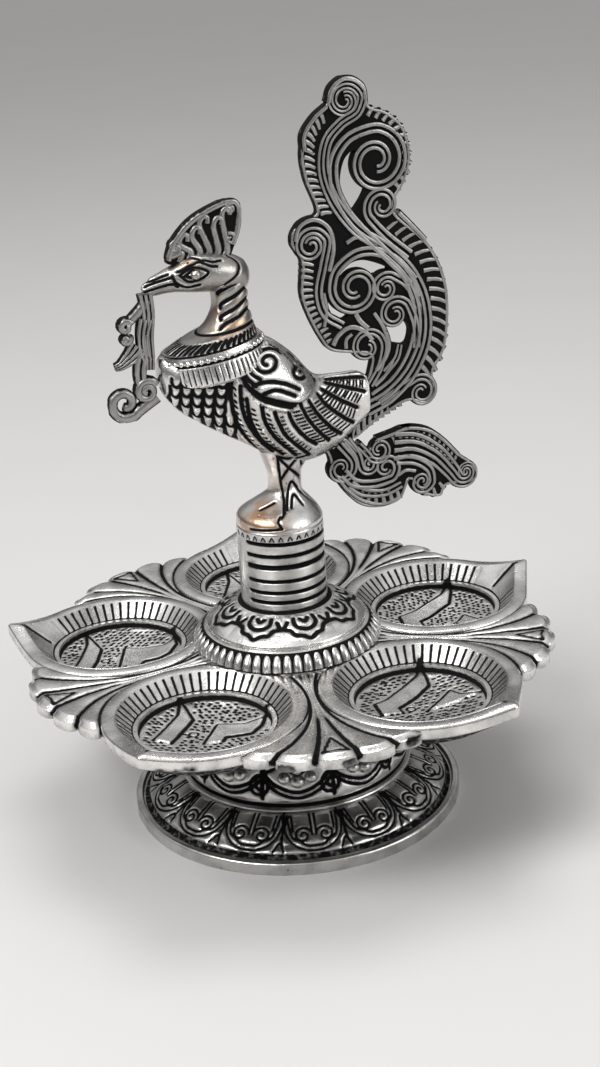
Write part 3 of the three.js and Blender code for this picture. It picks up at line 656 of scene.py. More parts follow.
class Shaders:
    """Node groups that the finishes share; the scales of their textures are per metre."""

    GRAIN = 1900.0
    PITS = 620.0
    CLOUD = 230.0
    WORN_EDGE = 900.0

    def __init__(self) -> None:
        """Builds the groups once."""
        self.cast = self._cast()
        self.patina = self._patina()
        self.stain = self._stain()

    @staticmethod
    def _cast() -> Tree:
        """Grain and pits of a sand casting."""
        tree, given, result = new_tree(
            "Cast grain", "ShaderNodeTree", {"Grain": "Float", "Pits": "Float"},
            {"Height": "Float", "Pit": "Float", "Cloud": "Float"})
        place = put(tree, "ShaderNodeTexCoord").outputs["Object"]
        fine, cloud = noise(tree, Shaders.GRAIN, 3.0), noise(tree, Shaders.CLOUD, 4.0)
        cells = put(tree, "ShaderNodeTexVoronoi", {
            "Vector": place, "Scale": Shaders.PITS, "Randomness": 1.0})
        hole = calc(tree, "SUBTRACT", 1.0, smooth_range(tree, cells.outputs["Distance"], 0.05, 0.24))
        rare = smooth_range(tree, cloud, 0.5, 0.62)
        pit = calc(tree, "MULTIPLY", calc(tree, "MULTIPLY", hole, rare), given["Pits"])
        grain = calc(tree, "MULTIPLY", fine, given["Grain"])
        tree.links.new(calc(tree, "SUBTRACT", grain, pit), result["Height"])
        tree.links.new(pit, result["Pit"])
        tree.links.new(cloud, result["Cloud"])
        return tree

    @staticmethod
    def _patina() -> Tree:
        """Black patina that fills the recesses, with a worn edge, and a grey veil beside it."""
        tree, given, result = new_tree(
            "Patina", "ShaderNodeTree", {"Wear": "Float", "Cloud": "Float"},
            {"Black": "Float", "Veil": "Float"})
        deep = put(tree, "ShaderNodeAttribute", attribute_name=RECESS_AND_SHADE).outputs["Fac"]
        ragged = calc(tree, "SUBTRACT", noise(tree, Shaders.WORN_EDGE, 2.0), 0.5)
        shift = calc(tree, "MULTIPLY", ragged, 0.35)
        level = calc(tree, "SUBTRACT", calc(tree, "ADD", deep, shift), given["Wear"])
        tree.links.new(smooth_range(tree, level, 0.36, 0.52), result["Black"])
        veil = calc(tree, "ADD", level, calc(tree, "MULTIPLY", given["Cloud"], 0.2))
        tree.links.new(smooth_range(tree, veil, 0.12, 0.5), result["Veil"])
        return tree

    @staticmethod
    def _stain() -> Tree:
        """Round stain about a place, with a cloudy edge."""
        tree, given, result = new_tree(
            "Stain", "ShaderNodeTree", {"Centre": "Vector", "Radius": "Float", "Cloud": "Float"},
            {"Mask": "Float"})
        place = put(tree, "ShaderNodeTexCoord").outputs["Object"]
        away = put(tree, "ShaderNodeVectorMath", {0: place, 1: given["Centre"]}, operation="DISTANCE")
        share = calc(tree, "DIVIDE", away.outputs["Value"], given["Radius"])
        near = calc(tree, "SUBTRACT", 1.0, smooth_range(tree, share, 0.2, 1.0))
        ragged = smooth_range(tree, given["Cloud"], 0.3, 0.6)
        tree.links.new(calc(tree, "MULTIPLY", near, ragged), result["Mask"])
        return tree


@dataclass(frozen=True)
class Stain:
    """Stain on the silver, warm or black: its centre and radius in millimetres, its colour and strength."""

    centre: Three
    radius: float
    colour: Three = (0.56, 0.36, 0.22)
    strength: float = 0.7


@dataclass(frozen=True)
class Silver:
    """Blackened silver: bright ridges over black recesses.

    Attributes:
        name: name of the material.
        bright: colour of the rubbed metal.
        veil: colour of the thin tarnish beside the recesses.
        variation: share of its colour that the duller patches keep.
        roughness: roughness of the rubbed metal.
        grain: height of the cast grain.
        pits: how many pits show, from 0 to 1.
        wear: how far the patina is rubbed back; negative makes it spread.
        stains: places where the plating is worn or black.
    """

    name: str
    bright: Three = (0.80, 0.785, 0.765)
    veil: Three = (0.30, 0.295, 0.29)
    variation: float = 0.7
    roughness: float = 0.3
    grain: float = 0.35
    pits: float = 0.7
    wear: float = 0.0
    stains: tuple[Stain, ...] = ()

    def build(self, groups: Shaders) -> Material:
        """Material of this finish."""
        material, tree, shader = new_material(self.name)
        cast = put(tree, "ShaderNodeGroup", {"Grain": self.grain, "Pits": self.pits}, node_tree=groups.cast)
        cloud = cast.outputs["Cloud"]
        patina = put(tree, "ShaderNodeGroup", {"Wear": self.wear, "Cloud": cloud}, node_tree=groups.patina)
        worn = smooth_range(tree, cloud, 0.35, 0.7)
        colour = blend(tree, worn, shaded(self.bright), shaded(self.bright, self.variation))
        for stain in self.stains:
            centre = tuple(np.array(stain.centre) * MM + post_axis())
            mark = put(tree, "ShaderNodeGroup", {
                "Centre": centre, "Radius": stain.radius * MM, "Cloud": cloud}, node_tree=groups.stain)
            mask = calc(tree, "MULTIPLY", mark.outputs[0], stain.strength)
            colour = blend(tree, mask, colour, shaded(stain.colour))
        thin = calc(tree, "MULTIPLY", patina.outputs["Veil"], 0.75)
        colour = blend(tree, thin, colour, shaded(self.veil))
        dark = calc(tree, "MAXIMUM", patina.outputs["Black"], cast.outputs["Pit"])
        colour = blend(tree, dark, colour, shaded(PATINA))
        tree.links.new(colour, shader.inputs["Base Color"])
        rough = calc(tree, "ADD", self.roughness, calc(tree, "MULTIPLY", patina.outputs["Veil"], 0.12))
        # Input of the shader, its value on the rubbed metal and its change in the black
        levels = (("Metallic", 1.0, -0.85), ("Specular IOR Level", 0.5, -0.42), ("Roughness", rough, 0.35))
        for title, rubbed, change in levels:
            level = calc(tree, "ADD", rubbed, calc(tree, "MULTIPLY", dark, change))
            tree.links.new(level, shader.inputs[title])
        bump = put(tree, "ShaderNodeBump", {
            "Height": cast.outputs["Height"], "Distance": 0.0002, "Strength": 0.8})
        tree.links.new(bump.outputs[0], shader.inputs["Normal"])
        return material


@dataclass(frozen=True)
class Turned:
    """Plain turned metal with fine lathe marks, for the fastening."""

    name: str
    colour: Three
    roughness: float = 0.35

    def build(self, groups: Shaders) -> Material:
        """Material of this finish."""
        material, tree, shader = new_material(self.name)
        shader.inputs["Metallic"].default_value = 1.0
        place = put(tree, "ShaderNodeTexCoord").outputs["Object"]
        marks = put(tree, "ShaderNodeTexWave", {"Vector": place, "Scale": 900.0, "Distortion": 1.5},
                    bands_direction="Z")
        cast = put(tree, "ShaderNodeGroup", {"Grain": 0.2, "Pits": 0.2}, node_tree=groups.cast)
        shade = smooth_range(tree, cast.outputs["Cloud"], 0.3, 0.75)
        colour = blend(tree, shade, shaded(self.colour), shaded(self.colour, 0.6))
        tree.links.new(colour, shader.inputs["Base Color"])
        rough = calc(tree, "ADD", self.roughness, calc(tree, "MULTIPLY", shade, 0.2))
        tree.links.new(rough, shader.inputs["Roughness"])
        bump = put(tree, "ShaderNodeBump", {"Height": marks.outputs[0], "Distance": 0.00005})
        tree.links.new(bump.outputs[0], shader.inputs["Normal"])
        return material


@dataclass
class Bench:
    """What every maker of a piece shares: the tools, the shader groups and the finishing of a piece."""

    tools: Workshop = field(default_factory=Workshop)
    groups: Shaders = field(default_factory=Shaders)

    def deliver(self, obj: Object, name: str, nodes: Sequence[str],
                finish: Material, sharp: float = 50.0) -> Object:
        """Moves a finished piece into the frame of the solids and hides the solids that it stands for.

        Args:
            obj: the piece, in millimetres about the post's axis.
            name: name of the piece.
            nodes: solids that it replaces; it stays inside their box.
            finish: its material.
            sharp: angle in degrees past which an edge is sharp.

        Returns:
            The piece.
        """
        obj.name = name
        mesh = obj.data
        mesh.transform(Matrix.Translation(Vector(post_axis())) @ Matrix.Scale(MM, 4))
        corners = [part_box(node) for node in nodes]
        low = np.min([np.array(c[0]) for c in corners], 0)
        high = np.max([np.array(c[1]) for c in corners], 0)
        co = np.empty(len(mesh.vertices) * 3)
        mesh.vertices.foreach_get("co", co)
        mesh.vertices.foreach_set("co", np.clip(co.reshape(-1, 3), low, high).ravel())
        mesh.materials.clear()
        mesh.materials.append(finish)
        mesh.polygons.foreach_set("material_index", [0] * len(mesh.polygons))
        mesh.shade_smooth()
        mesh.set_sharp_from_angle(angle=math.radians(sharp))
        mesh.update()
        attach(obj, "root")
        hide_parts(*nodes)
        LOG.info("%s: %d faces", name, len(mesh.polygons))
        return obj


# Turned and chased pieces about the post


@dataclass
class Wall:
    """Outside of a turned piece: a profile that may swell and draw in around the axis.

    Attributes:
        profile: points of the outside as radius and height, in order.
        relief: gives height of the relief and depth in a recess from angle and run along the profile.
        spacing: distance between rows.
    """

    profile: Points
    relief: Callable[[Array, Array], Pair]
    spacing: float = 0.35

    def __post_init__(self) -> None:
        """Works out the even rows and their outward direction."""
        self.rows = even(np.asarray(self.profile, float), self.spacing)
        self.run = run_along(self.rows)
        along = np.gradient(self.rows, axis=0)
        along /= np.linalg.norm(along, axis=1, keepdims=True) + 1e-9
        self.out = np.stack([along[:, 1], -along[:, 0]], 1)

    def at(self, angle: Array, run: Array) -> Pair:
        """Points and recess at angles and runs along the profile."""
        rise, deep = self.relief(angle, run)
        r, z, out_r, out_z = (np.interp(run, self.run, column) for column in (*self.rows.T, *self.out.T))
        r, z = r + rise * out_r, z + rise * out_z
        return polar(angle, r, z), deep

    def line(self, points: Points) -> Array:
        """Line on the wall from points as distance around, in millimetres, and run along the profile."""
        p = smooth(points, 0.3)
        r = np.interp(p[:, 1], self.run, self.rows[:, 0])
        return self.at(p[:, 0] / np.maximum(r, 1), p[:, 1])[0]

    def closed(self, columns: int, back: Points) -> Shell:
        """Closed shell of the wall and a plain back that leads from its end to its start."""
        angle = angles(columns)[None, :]
        front, deep = self.at(*np.broadcast_arrays(angle, self.run[:, None]))
        r, z = np.asarray(back, float).T[..., None]
        rear = polar(angle, r, z)
        deep = np.concatenate([deep, np.full(rear.shape[:2], BACK_RECESS)])
        return grid(np.concatenate([front, rear]), deep)


def no_relief(angle: Array, run: Array) -> Pair:
    """Relief of a plain wall."""
    return np.zeros_like(angle + run), np.zeros_like(angle + run)


@dataclass
class Foot:
    """Round foot with a plain rim, a sunk ring and a band of chased petals."""

    radius: float = 38.4
    rim_height: float = 3.0
    petal_radius: float = 35.3
    shoulder_radius: float = 27.6
    top: float = FOOT_TOP
    petals: int = 14
    petal_rise: float = 0.7
    groove: Two = (0.5, 0.3)

    def build(self, bench: Bench, finish: Material) -> Object:
        """Foot with its engraved petals."""
        r, sunk = self.radius, self.rim_height - 0.9
        profile = [(r - 0.2, 0), (r, 0.3), (r, self.rim_height - 0.4), (r - 0.4, self.rim_height),
                   (r - 1.5, self.rim_height), (r - 1.9, sunk), (self.petal_radius + 0.2, sunk),
                   (self.petal_radius - 0.3, 3.7), (33.2, 5.4), (30.4, 7.2), (self.shoulder_radius, 8.5),
                   (26.2, self.top), (24, self.top)]
        wall = Wall(profile, self._relief, 0.33)
        start = float(np.interp(self.petal_radius - 0.3, wall.rows[::-1, 0], wall.run[::-1]))
        under = self.top - CAST_WALL
        back = [(STUD_HOLE, self.top), (STUD_HOLE, under), (self.shoulder_radius - CAST_WALL, under),
                (r - CAST_WALL, 0)]
        obj = wall.closed(self.petals * 48, back).as_object("foot")
        half = math.pi * 31.5 / self.petals
        hems = [[(half - 0.5 - inset, 9.7), (half - 0.6 - inset, 6), (half - 1.1 - inset, 3.6),
                 (half - 2.6 - inset, 1.6 + inset), (2, 0.5 + inset), (0, 0.3 + inset)]
                for inset in (0, 1.1)]
        stems = [[(0.5, 9.5), (0.5, 4.4)], [(4.6, 9.4), (4.6, 5.2)]]
        petal = mirrored([*hems, *stems, curl((2.5, 4), 2.1, math.pi, -1.5)])
        joint = [[(half - 1.2, 0.2), (half, 2.4), (half + 1.2, 0.2)], [(half, 3.4), (half, 9.4)]]
        lines = [wall.line(np.add(line, (0, start))) for line in [*petal, *joint]]
        bench.tools.engrave(obj, lines, *self.groove, finish, copies=self.petals)
        return bench.deliver(obj, "Foot", ["foot"], finish)

    def _relief(self, angle: Array, run: Array) -> Pair:
        """Cushions of the petals, black in the sunk ring and in the joints."""
        first, ring = 8.6, (5.4, 7.6)
        phase = angle * self.petals / TURN + 0.5
        crown, valley = ridges(phase)
        on = step(run, first - 0.4, first + 1)
        deep = np.where((run > ring[0]) & (run < ring[1]), 0.5, 0.0)
        return self.petal_rise * (crown - 1) * on, np.maximum(deep, np.clip(valley * 5 - 4.2, 0, 1) * on)


@dataclass
class Drum:
    """Embossed casting between foot and lamp plate: lip, bulge with round lobes, narrow neck."""

    base: float = FOOT_TOP
    top: float = 37.9
    lip_radius: float = 27.1
    neck_radius: float = 16.4
    lobes: int = 10
    groove: Two = (0.75, 0.4)

    def build(self, bench: Bench, finish: Material) -> Object:
        """Drum with its embossed lobes, crescents, pearls and scrolls."""
        lip = self.base + 1.1
        tall = self.top - lip
        bulge = [(radius, lip + share * tall) for radius, share in (
            (26.3, 0.14), (25.3, 0.25), (23.6, 0.37), (20.6, 0.5), (18.2, 0.6), (16.9, 0.7), (16.5, 0.78),
            (16.6, 0.88))]
        profile = smooth([(25.7, lip + 0.3), (26.4, lip + 1.6), *bulge, (17.2, self.top)], 0.4)
        edge = self.lip_radius
        rim = [(edge - 0.8, self.base), (edge, self.base + 0.4), (edge, lip - 0.3), (edge - 0.5, lip)]
        wall = Wall([*rim, *profile.tolist()], self._relief, 0.36)
        under, inner = self.top - CAST_WALL, self.neck_radius - CAST_WALL
        back = [(STUD_HOLE, self.top), (STUD_HOLE, under), (inner, under), (inner, lip + 0.68 * tall),
                (20.6, lip + 0.34 * tall), (23, self.base)]
        obj = wall.closed(self.lobes * 52, back).as_object("drum")
        half = math.pi * 26 / self.lobes
        lines = [
            spread([(0, 5), (half * 0.6, 6.6), (half, 9.6)]),
            spread([(0, 6.4), (half * 0.6, 8), (half, 11)]),
            spread([(0, 10.6), (3, 12.2)]), spread([(0, 21), (2, 20.4), (4.5, 18.6)]),
            *mirrored([curl((4.2, 14.6), 2.3, math.pi, -1.5), [(3, 22), (2.6, 28)]]),
            curl((half - 0.4, 7.6), 2.7, math.pi / 2, 1.6),
            [(half - 0.4, 10.4), (half + 2, 12), (half + 2.6, 14.4)],
            [(0, 12.4), (-1, 14.4), (0, 17.6), (1, 14.4), (0, 12.4)],
            [(half, 12.4), (half - 1.2, 14.6), (half, 18), (half + 1.2, 14.6), (half, 12.4)],
            [(half, 20), (half, 28)], [(0, 22.6), (0, 28)],
        ]
        lines = [wall.line(line) for line in lines]
        bench.tools.engrave(obj, lines, *self.groove, finish, copies=self.lobes)
        pearls = total([bead(place, radius, 0.9, 12) for place, radius in (
            ((-3, 0.15, 0.9), 1.5), ((0, 0, 0), 1.7), ((3, 0.15, 0.9), 1.5), ((0, -0.1, 3.1), 1.3))])
        for run, count, motif in ((8.9, self.lobes, pearls), (19.6, 36, bead((0, 0, 0), 0.85, 0.8, 8))):
            ring = wall.at(np.linspace(0, TURN, 161), np.full(161, run))[0]
            bench.tools.set_row(obj, ring, motif, count + 1, finish, Pivot.UPRIGHT)
        return bench.deliver(obj, "Drum", ["drum"], finish)

    def _relief(self, angle: Array, run: Array) -> Pair:
        """Lobes of the bulge, black ground above the lip and between the lobes."""
        crown, valley = ridges(angle * self.lobes / TURN + 0.5)
        on = step(run, 3.4, 5) * (1 - step(run, 12, 15))
        upper_crown, upper_valley = ridges(angle * 2 * self.lobes / TURN)
        upper = step(run, 14, 16)
        rise = 0.8 * (crown - 0.8) * on + 0.35 * (upper_crown - 1) * upper
        deep = np.maximum(np.clip(valley * 5 - 4, 0, 1) * on, np.clip(upper_valley * 3 - 2.2, 0, 1) * upper)
        return rise, np.maximum(deep, np.where((run > 2.4) & (run < 3.5), 1.0, 0.0))


# Two arms of each cup's sign, as they are seen from the front about the middle of its floor. The other
# two arms are these, turned half round and shorter
SIDE_SIGN: Sequence[Points] = (
    ((-12.0, -3.1), (-9.5, 1.5), (-6.0, 8.9), (-5.1, 13.4), (-4.2, 9.8), (-3.5, 5.2), (-6.0, -0.8),
     (-8.5, -5.4), (-6.5, -7.7)),
    ((-3.3, -9.5), (1.8, 3.7), (5.5, 1.5), (10.5, 0.2), (13.5, 1.9), (14.3, 4.7), (13.3, -1.2),
     (10.5, -4.9), (7.5, -6.3), (4.0, -5.8), (0.8, -10.4)))
SIGNS: Sequence[Sequence[Points]] = (
    (((-10.2, -7.7), (-8.4, 2.5), (-3.4, 4.3), (0.6, 6.9), (6.1, 9.8), (7.9, 12.0), (9.4, 13.0), (8.6, 9.8),
      (5.6, 4.3), (2.6, 2.5), (-1.4, -0.3), (-4.7, -1.9), (-5.4, -9.0)),
     ((-3.4, -9.5), (0.6, -7.7), (3.6, -5.8), (6.1, -3.1), (7.9, -8.3))),
    SIDE_SIGN, SIDE_SIGN,
    (((-11.2, 1.4), (-3.2, 10.2), (-1.4, 14.7), (-0.9, 13.5), (-0.7, 7.0), (-8.0, -1.3)),
     ((-1.7, -4.1), (3.5, 3.0), (8.8, 0.1), (13.5, 0.5), (14.9, 2.5), (11.8, -2.7), (8.8, -5.0), (3.3, -3.6),
      (2.3, -5.0))),
    (((-9.6, -1.7), (-9.2, 3.8), (-6.0, 4.9), (-1.0, 8.4), (4.0, 11.7), (5.5, 13.6), (6.3, 14.9),
      (6.0, 10.7), (5.2, 7.1), (0.0, 3.1), (-4.9, 0.3), (-4.9, -2.1)),
     ((0.0, -3.5), (5.5, 0.6), (8.3, 2.9), (9.5, 0.2), (13.6, -1.6))),
)


@dataclass
class LampPlate:
    """Flower of five spouted cups with a fan of five leaves between each two.

    The cups share one section: a flat lip, a fluted wall, a ledge and a dished floor. Each floor carries the
    same four-armed sign of good fortune, cut by hand and turned its own way.

    Attributes:
        sign_centre: middle of a sign on its floor.
        sign_short: length of the hidden arms as a share of the arms that show.
        grooves: half width and depth of the signs' lines, of the punched dots and of the small rings.
        triangle_groove: half width and depth of the lines of the fans' triangles.
    """

    top: float = PLATE_TOP
    cups: int = 5
    first_angle: float = 8.0
    centre_radius: float = 39.9
    bowl_radius: float = 18.9
    lip_width: float = 3.1
    spout_length: float = 4.8
    spout_rise: float = 2.3
    floor_radius: float = 14.2
    floor_depth: float = 5.0
    ledge_depth: float = 3.4
    ledge_width: float = 1.3
    cup_depth: float = 7.8
    flutes: int = 56
    leaves: int = 5
    fan_root: float = 20.6
    fan_tip: float = 61.0
    fan_fall: float = 0.6
    leaf_round: float = 2.6
    seam: float = 0.4
    sign_centre: Two = (-1.5, -7.5)
    sign_short: float = 0.45
    grooves: tuple[Two, ...] = ((0.8, 0.3), (0.62, 0.25), (0.45, 0.2))
    triangle_groove: Two = (0.7, 0.35)

    def build(self, bench: Bench, finish: Material) -> None:
        """Cups and fans, as six pieces that stand for the plate together."""
        for i in range(self.cups):
            self._cup(bench, finish, f"Cup_{i + 1}", self._azimuth(i), SIGNS[i], i)
        fans = total([self._fan(self._azimuth(i + 0.5)) for i in range(self.cups)])
        under = self.top - CAST_WALL
        profile = [(STUD_HOLE, under), (21.4, under), (21.4, self.top), (STUD_HOLE, self.top)]
        angle = angles(60)
        disc = np.stack([polar(angle, r, z) for r, z in profile])
        obj = (fans + grid(disc, np.full(disc.shape[:2], 0.2))).as_object("fans")
        bench.tools.engrave(obj, self._triangles(), *self.triangle_groove, finish, copies=self.cups)
        bench.deliver(obj, "Leaf_fans", ["lamp_plate"], finish)

    def _azimuth(self, place: float) -> float:
        """Direction of a cup by its number; halves lie between two cups."""
        return math.radians(self.first_angle + place * (360 / self.cups))

    @staticmethod
    def _teardrop(angle: Array, radius: float, reach: float) -> Array:
        """Radius of a circle with a tip ahead of it."""
        away = np.abs(np.arctan2(np.sin(angle), np.cos(angle)))
        return radius / np.cos(np.maximum(0, math.acos(radius / reach) - away))

    def _edges(self, angle: Array) -> tuple[Array, Array, Array]:
        """Radius of a cup's inner edge and of its lip, and how far the lip rises to the spout."""
        outer = self.bowl_radius + self.lip_width
        inner = self._teardrop(angle, self.bowl_radius, self.bowl_radius + 0.87 * self.spout_length)
        lip = self._teardrop(angle, outer, outer + self.spout_length)
        return inner, lip, self.spout_rise * (lip - outer) / self.spout_length

    def _height(self, r: Array, angle: Array) -> Array:
        """Height of the inside of a cup, in the cup's own frame."""
        inner, _, rise = self._edges(angle)
        edge = self.floor_radius
        ledge, on_ledge = edge + self.ledge_width, self.top - self.ledge_depth
        low = self.top - self.floor_depth
        floor = low - 0.9 * (1 - np.clip(r / edge, 0, 1) ** 2)
        z = np.where(r < edge, floor, np.where(r < edge + 0.25, low + (r - edge) * 6.4, on_ledge))
        wall = np.clip((r - ledge) / (inner - ledge), 0, 1)
        return np.where(r > ledge, on_ledge + (self.top + rise - on_ledge) * wall, z)

    def _cup(self, bench: Bench, finish: Material, name: str, azimuth: float, sign: Sequence[Points],
             seed: int) -> None:
        """One cup, chased inside and out."""
        arms = self._arms(azimuth, sign)
        move = np.array([self.centre_radius, 0, 0])
        obj = self._bowl(arms).moved(lambda p: turned(p + move, azimuth)).as_object(name)

        def place(line: Points) -> Array:
            """Puts a line of the floor, in the cup's frame, onto its surface."""
            p = even(np.asarray(line, float), 0.3)
            z = self._height(np.hypot(p[:, 0], p[:, 1]), np.arctan2(p[:, 1], p[:, 0]))
            return turned(np.column_stack([p, z]) + move, azimuth)

        crease = [(self.bowl_radius + 0.86 * self.spout_length, 0),
                  (self.floor_radius + self.ledge_width + 1.4, 0)]
        dots, rings = self._stipple(arms, seed)
        for lines, groove in zip(([*arms, crease], dots, rings), self.grooves):
            bench.tools.engrave(obj, [place(line) for line in lines], *groove, finish)
        bench.deliver(obj, name, ["lamp_plate"], finish)

    def _arms(self, azimuth: float, sign: Sequence[Points]) -> Lines:
        """Four arms of a cup's sign, in the cup's frame."""
        middle = np.array(self.sign_centre)
        arms = [np.asarray(arm, float) for arm in sign]
        arms += [middle - self.sign_short * (arm - middle) for arm in arms]
        return [even(turned(np.pad(arm, ((0, 0), (0, 1))), -azimuth)[:, :2], 0.5) for arm in arms]

    def _bowl(self, arms: Lines) -> Shell:
        """Shell of a cup about its middle, from under its floor over the lip and in to the middle."""
        per_flute = np.array([-0.09, 0.09, 0.32, 0.5, 0.68])
        angle = ((np.arange(self.flutes)[:, None] + per_flute) * TURN / self.flutes).ravel()[None, :]
        inner, lip, rise = self._edges(angle)
        base, rim = self.top - self.cup_depth, self.top + rise
        # Rows of the cup's outside as radius, height and painted shade: darkest under the floor and gone at
        # the lip, for the shade under the cup
        outside = [
            (0.4, base, 0.8), (13.6, base + 0.2, 0.6), (18, base + 2, 0.5), (lip - 1.2, rim - 3.4, 0.5),
            (lip - 0.4, rim - 2.9, 0.2), (lip, rim - 2.4, 0.1), (lip, rim - 0.6, 0),
            (lip - 0.12, rim - 0.2, 0), (lip - 0.5, rim, 0), (inner + 0.35, rim, 0),
            (inner + 0.1, rim - 0.08, 0)]
        rows = [polar(angle, r, z)[0] for r, z, _ in outside]
        deep = [np.full(angle.size, value) for _, _, value in outside]
        edge = self.floor_radius
        ledge = edge + self.ledge_width
        radii = [ledge + (inner - ledge) * share for share in np.linspace(1, 0, 12)[:-1]]
        walls = len(radii)
        radii += [np.full_like(angle, r) for r in (
            ledge, ledge - 0.25, ledge - 0.45, edge + 0.5, edge + 0.25, edge + 0.06, edge - 0.05,
            *np.arange(edge - 0.3, 0.2, -0.34))]
        phase = angle * self.flutes / TURN
        spout = step(lip - self.bowl_radius - self.lip_width, 0.35, 1.2)
        flute = np.clip(1 - np.abs(phase - np.round(phase)) * 4.2, 0, 1) * (1 - spout)
        for i, r in enumerate(radii):
            flat = polar(angle, r)[0]
            on_sign = np.any([inside(flat, arm) for arm in arms], 0) & (r[0] < edge - 0.2)
            rows.append(np.column_stack([flat, self._height(r, angle)[0] + 0.25 * on_sign]))
            black = i == walls or abs(float(r.min()) - edge - 0.02) < 0.12
            deep.append(flute[0] if 0 < i < walls else np.full(angle.size, 0.95 if black else 0.0))
        return grid(np.stack(rows), np.stack(deep), close_rows=False)

    def _stipple(self, arms: Lines, seed: int) -> tuple[Lines, Lines]:
        """Punched dots about the sign, and the small rings in its bays."""
        rng = np.random.default_rng(seed + 7)
        pitch = 1.32
        k = np.arange(-11, 12)
        spots = np.stack(np.meshgrid(k * pitch, k * pitch), -1).reshape(-1, 2)
        spots = spots + rng.uniform(-0.3, 0.3, (len(k) ** 2, 2))
        spots[:, 0] += np.where(np.round(spots[:, 1] / pitch) % 2 == 0, 0, pitch / 2)
        bays = [(a[0] + b[0]) / 2 + 0.45 * (b[len(b) // 3] - b[0]) for a, b in (arms[:2], arms[2:])]
        rings = [circle(bay, 1.0, 14) for bay in bays]
        line = np.vstack(arms)
        clear = np.min(np.linalg.norm(spots[:, None] - line[None], axis=2), axis=1) > 0.95
        clear &= np.min(np.linalg.norm(spots[:, None] - np.array(bays)[None], axis=2), axis=1) > 1.5
        clear &= np.hypot(*spots.T) < self.floor_radius - 0.8
        keep = spots[clear & ~np.any([inside(spots, arm) for arm in arms], 0)]
        tilt = rng.uniform(0.9, 1.5, len(keep))[:, None]
        way = 0.2 * np.hstack([np.cos(tilt), np.sin(tilt)])
        return [np.array([p - w, p + w]) for p, w in zip(keep, way)], rings

    def _fan(self, azimuth: float) -> Shell:
        """Fan between two cups: crowned bands that follow the lips and part into leaves with round ends."""
        half, cup = self.leaves / 2, math.pi / self.cups
        within = (0, 0.03, 0.06, 0.1, 0.15, 0.22, 0.3, 0.4, 0.5, 0.6, 0.7, 0.78, 0.85, 0.9, 0.94, 0.97)
        across = np.append((np.arange(self.leaves)[:, None] + within).ravel(), self.leaves)[None, :] - half
        share = np.concatenate([np.linspace(0, 0.94, 88), np.linspace(0.946, 1, 10)])[:, None]
        crown, _ = ridges(across + half)
        tip = self.fan_tip - self.fan_fall * across**2 - self.leaf_round * (1 - crown)
        r = self.fan_root + (tip - self.fan_root) * share
        lip = self.bowl_radius + self.lip_width
        clear = np.hypot(r - self.centre_radius * math.cos(cup), self.centre_radius * math.sin(cup)) - lip
        part = np.abs(across) / half
        gap = clear * (1 - part) - self.seam * part
        cosine = (r**2 + self.centre_radius**2 - (lip + gap) ** 2) / (2 * r * self.centre_radius)
        bearing = np.sign(across) * (cup - np.arccos(cosine))
        band = clear / half
        valley = np.abs(across + half - np.round(across + half)) * band
        line = np.clip(1 - valley / (0.52 + 0.05 * band), 0, 1)
        inner = (np.abs(across) < 1) * (1 - step(band, 0.9, 1.7))
        deep = np.maximum(line * (1 - inner) * (part < 0.9), np.clip(1 - np.abs(gap) / 0.7, 0, 1))
        end = 0.9 * step(share, 0.955, 1)
        height = 0.7 * crown * np.minimum(1, band / 3) - 0.8 + 0.5 * share**3 - end - 0.3 * deep
        points = polar(bearing, r, self.top + height)
        return block_under(points, deep, self.top - CAST_WALL).moved(lambda p: turned(p, azimuth))

    def _triangles(self) -> Lines:
        """Small outlined triangle at the end of each fan's middle leaf."""
        tip, z = self.fan_tip - 2.6, self.top + 0.1
        shape = np.array([(tip, -2.7, z), (tip - 6, 0, z), (tip, 2.7, z), (tip - 0.5, 0, z),
                          (tip, -2.7, z)])
        return [turned(even(shape, 0.3), self._azimuth(0.5))]


@dataclass
class GadroonRing:
    """Collar of upright gadroons that slopes in to the dome."""

    base: float = RING_BASE
    height: float = DOME_BASE - RING_BASE
    outer: float = 21.6
    inner: float = 15.2
    seat: float = 18.9
    gadroons: int = 56
    black_run: float = 4.6

    def build(self, bench: Bench, finish: Material) -> Object:
        """Ring with a row of gadroons set around it."""
        low, top, r = self.base, self.base + self.height, self.outer
        wall = Wall([(r - 0.6, low), (r - 1.0, low + 0.4), (r - 1.2, low + 0.5 * self.height),
                     (self.seat + 0.9, top - 0.7), (self.seat + 0.2, top - 0.2), (self.seat - 0.4, top),
                     (self.inner, top)], self._relief, 0.4)
        obj = wall.closed(224, [(self.inner, low)]).as_object("ring")
        lean = np.array([(0, -0.25, 0.1), (0, -0.15, 0.9), (0, 0.25, 1.9), (0, 1.1, 2.9), (0, 1.9, 3.4)])
        gadroon = Ribbon((2.2, 1.7), (1.0, 0.8), 0.4, cut=0.75).along(
            smooth(lean, 0.6), up=np.array([0.0, -0.92, 0.38]))
        way = np.column_stack([circle((0, 0), self.outer - 1.1, 300), np.full(300, self.base)])
        bench.tools.set_row(obj, way, gadroon, self.gadroons + 1, finish, Pivot.UPRIGHT)
        return bench.deliver(obj, "Gadroon_ring", ["gadroon_ring"], finish)

    def _relief(self, angle: Array, run: Array) -> Pair:
        """Plain wall, black where the gadroons stand on it."""
        flat, _ = no_relief(angle, run)
        return flat, np.where(flat + run < self.black_run, 1.0, 0.0)


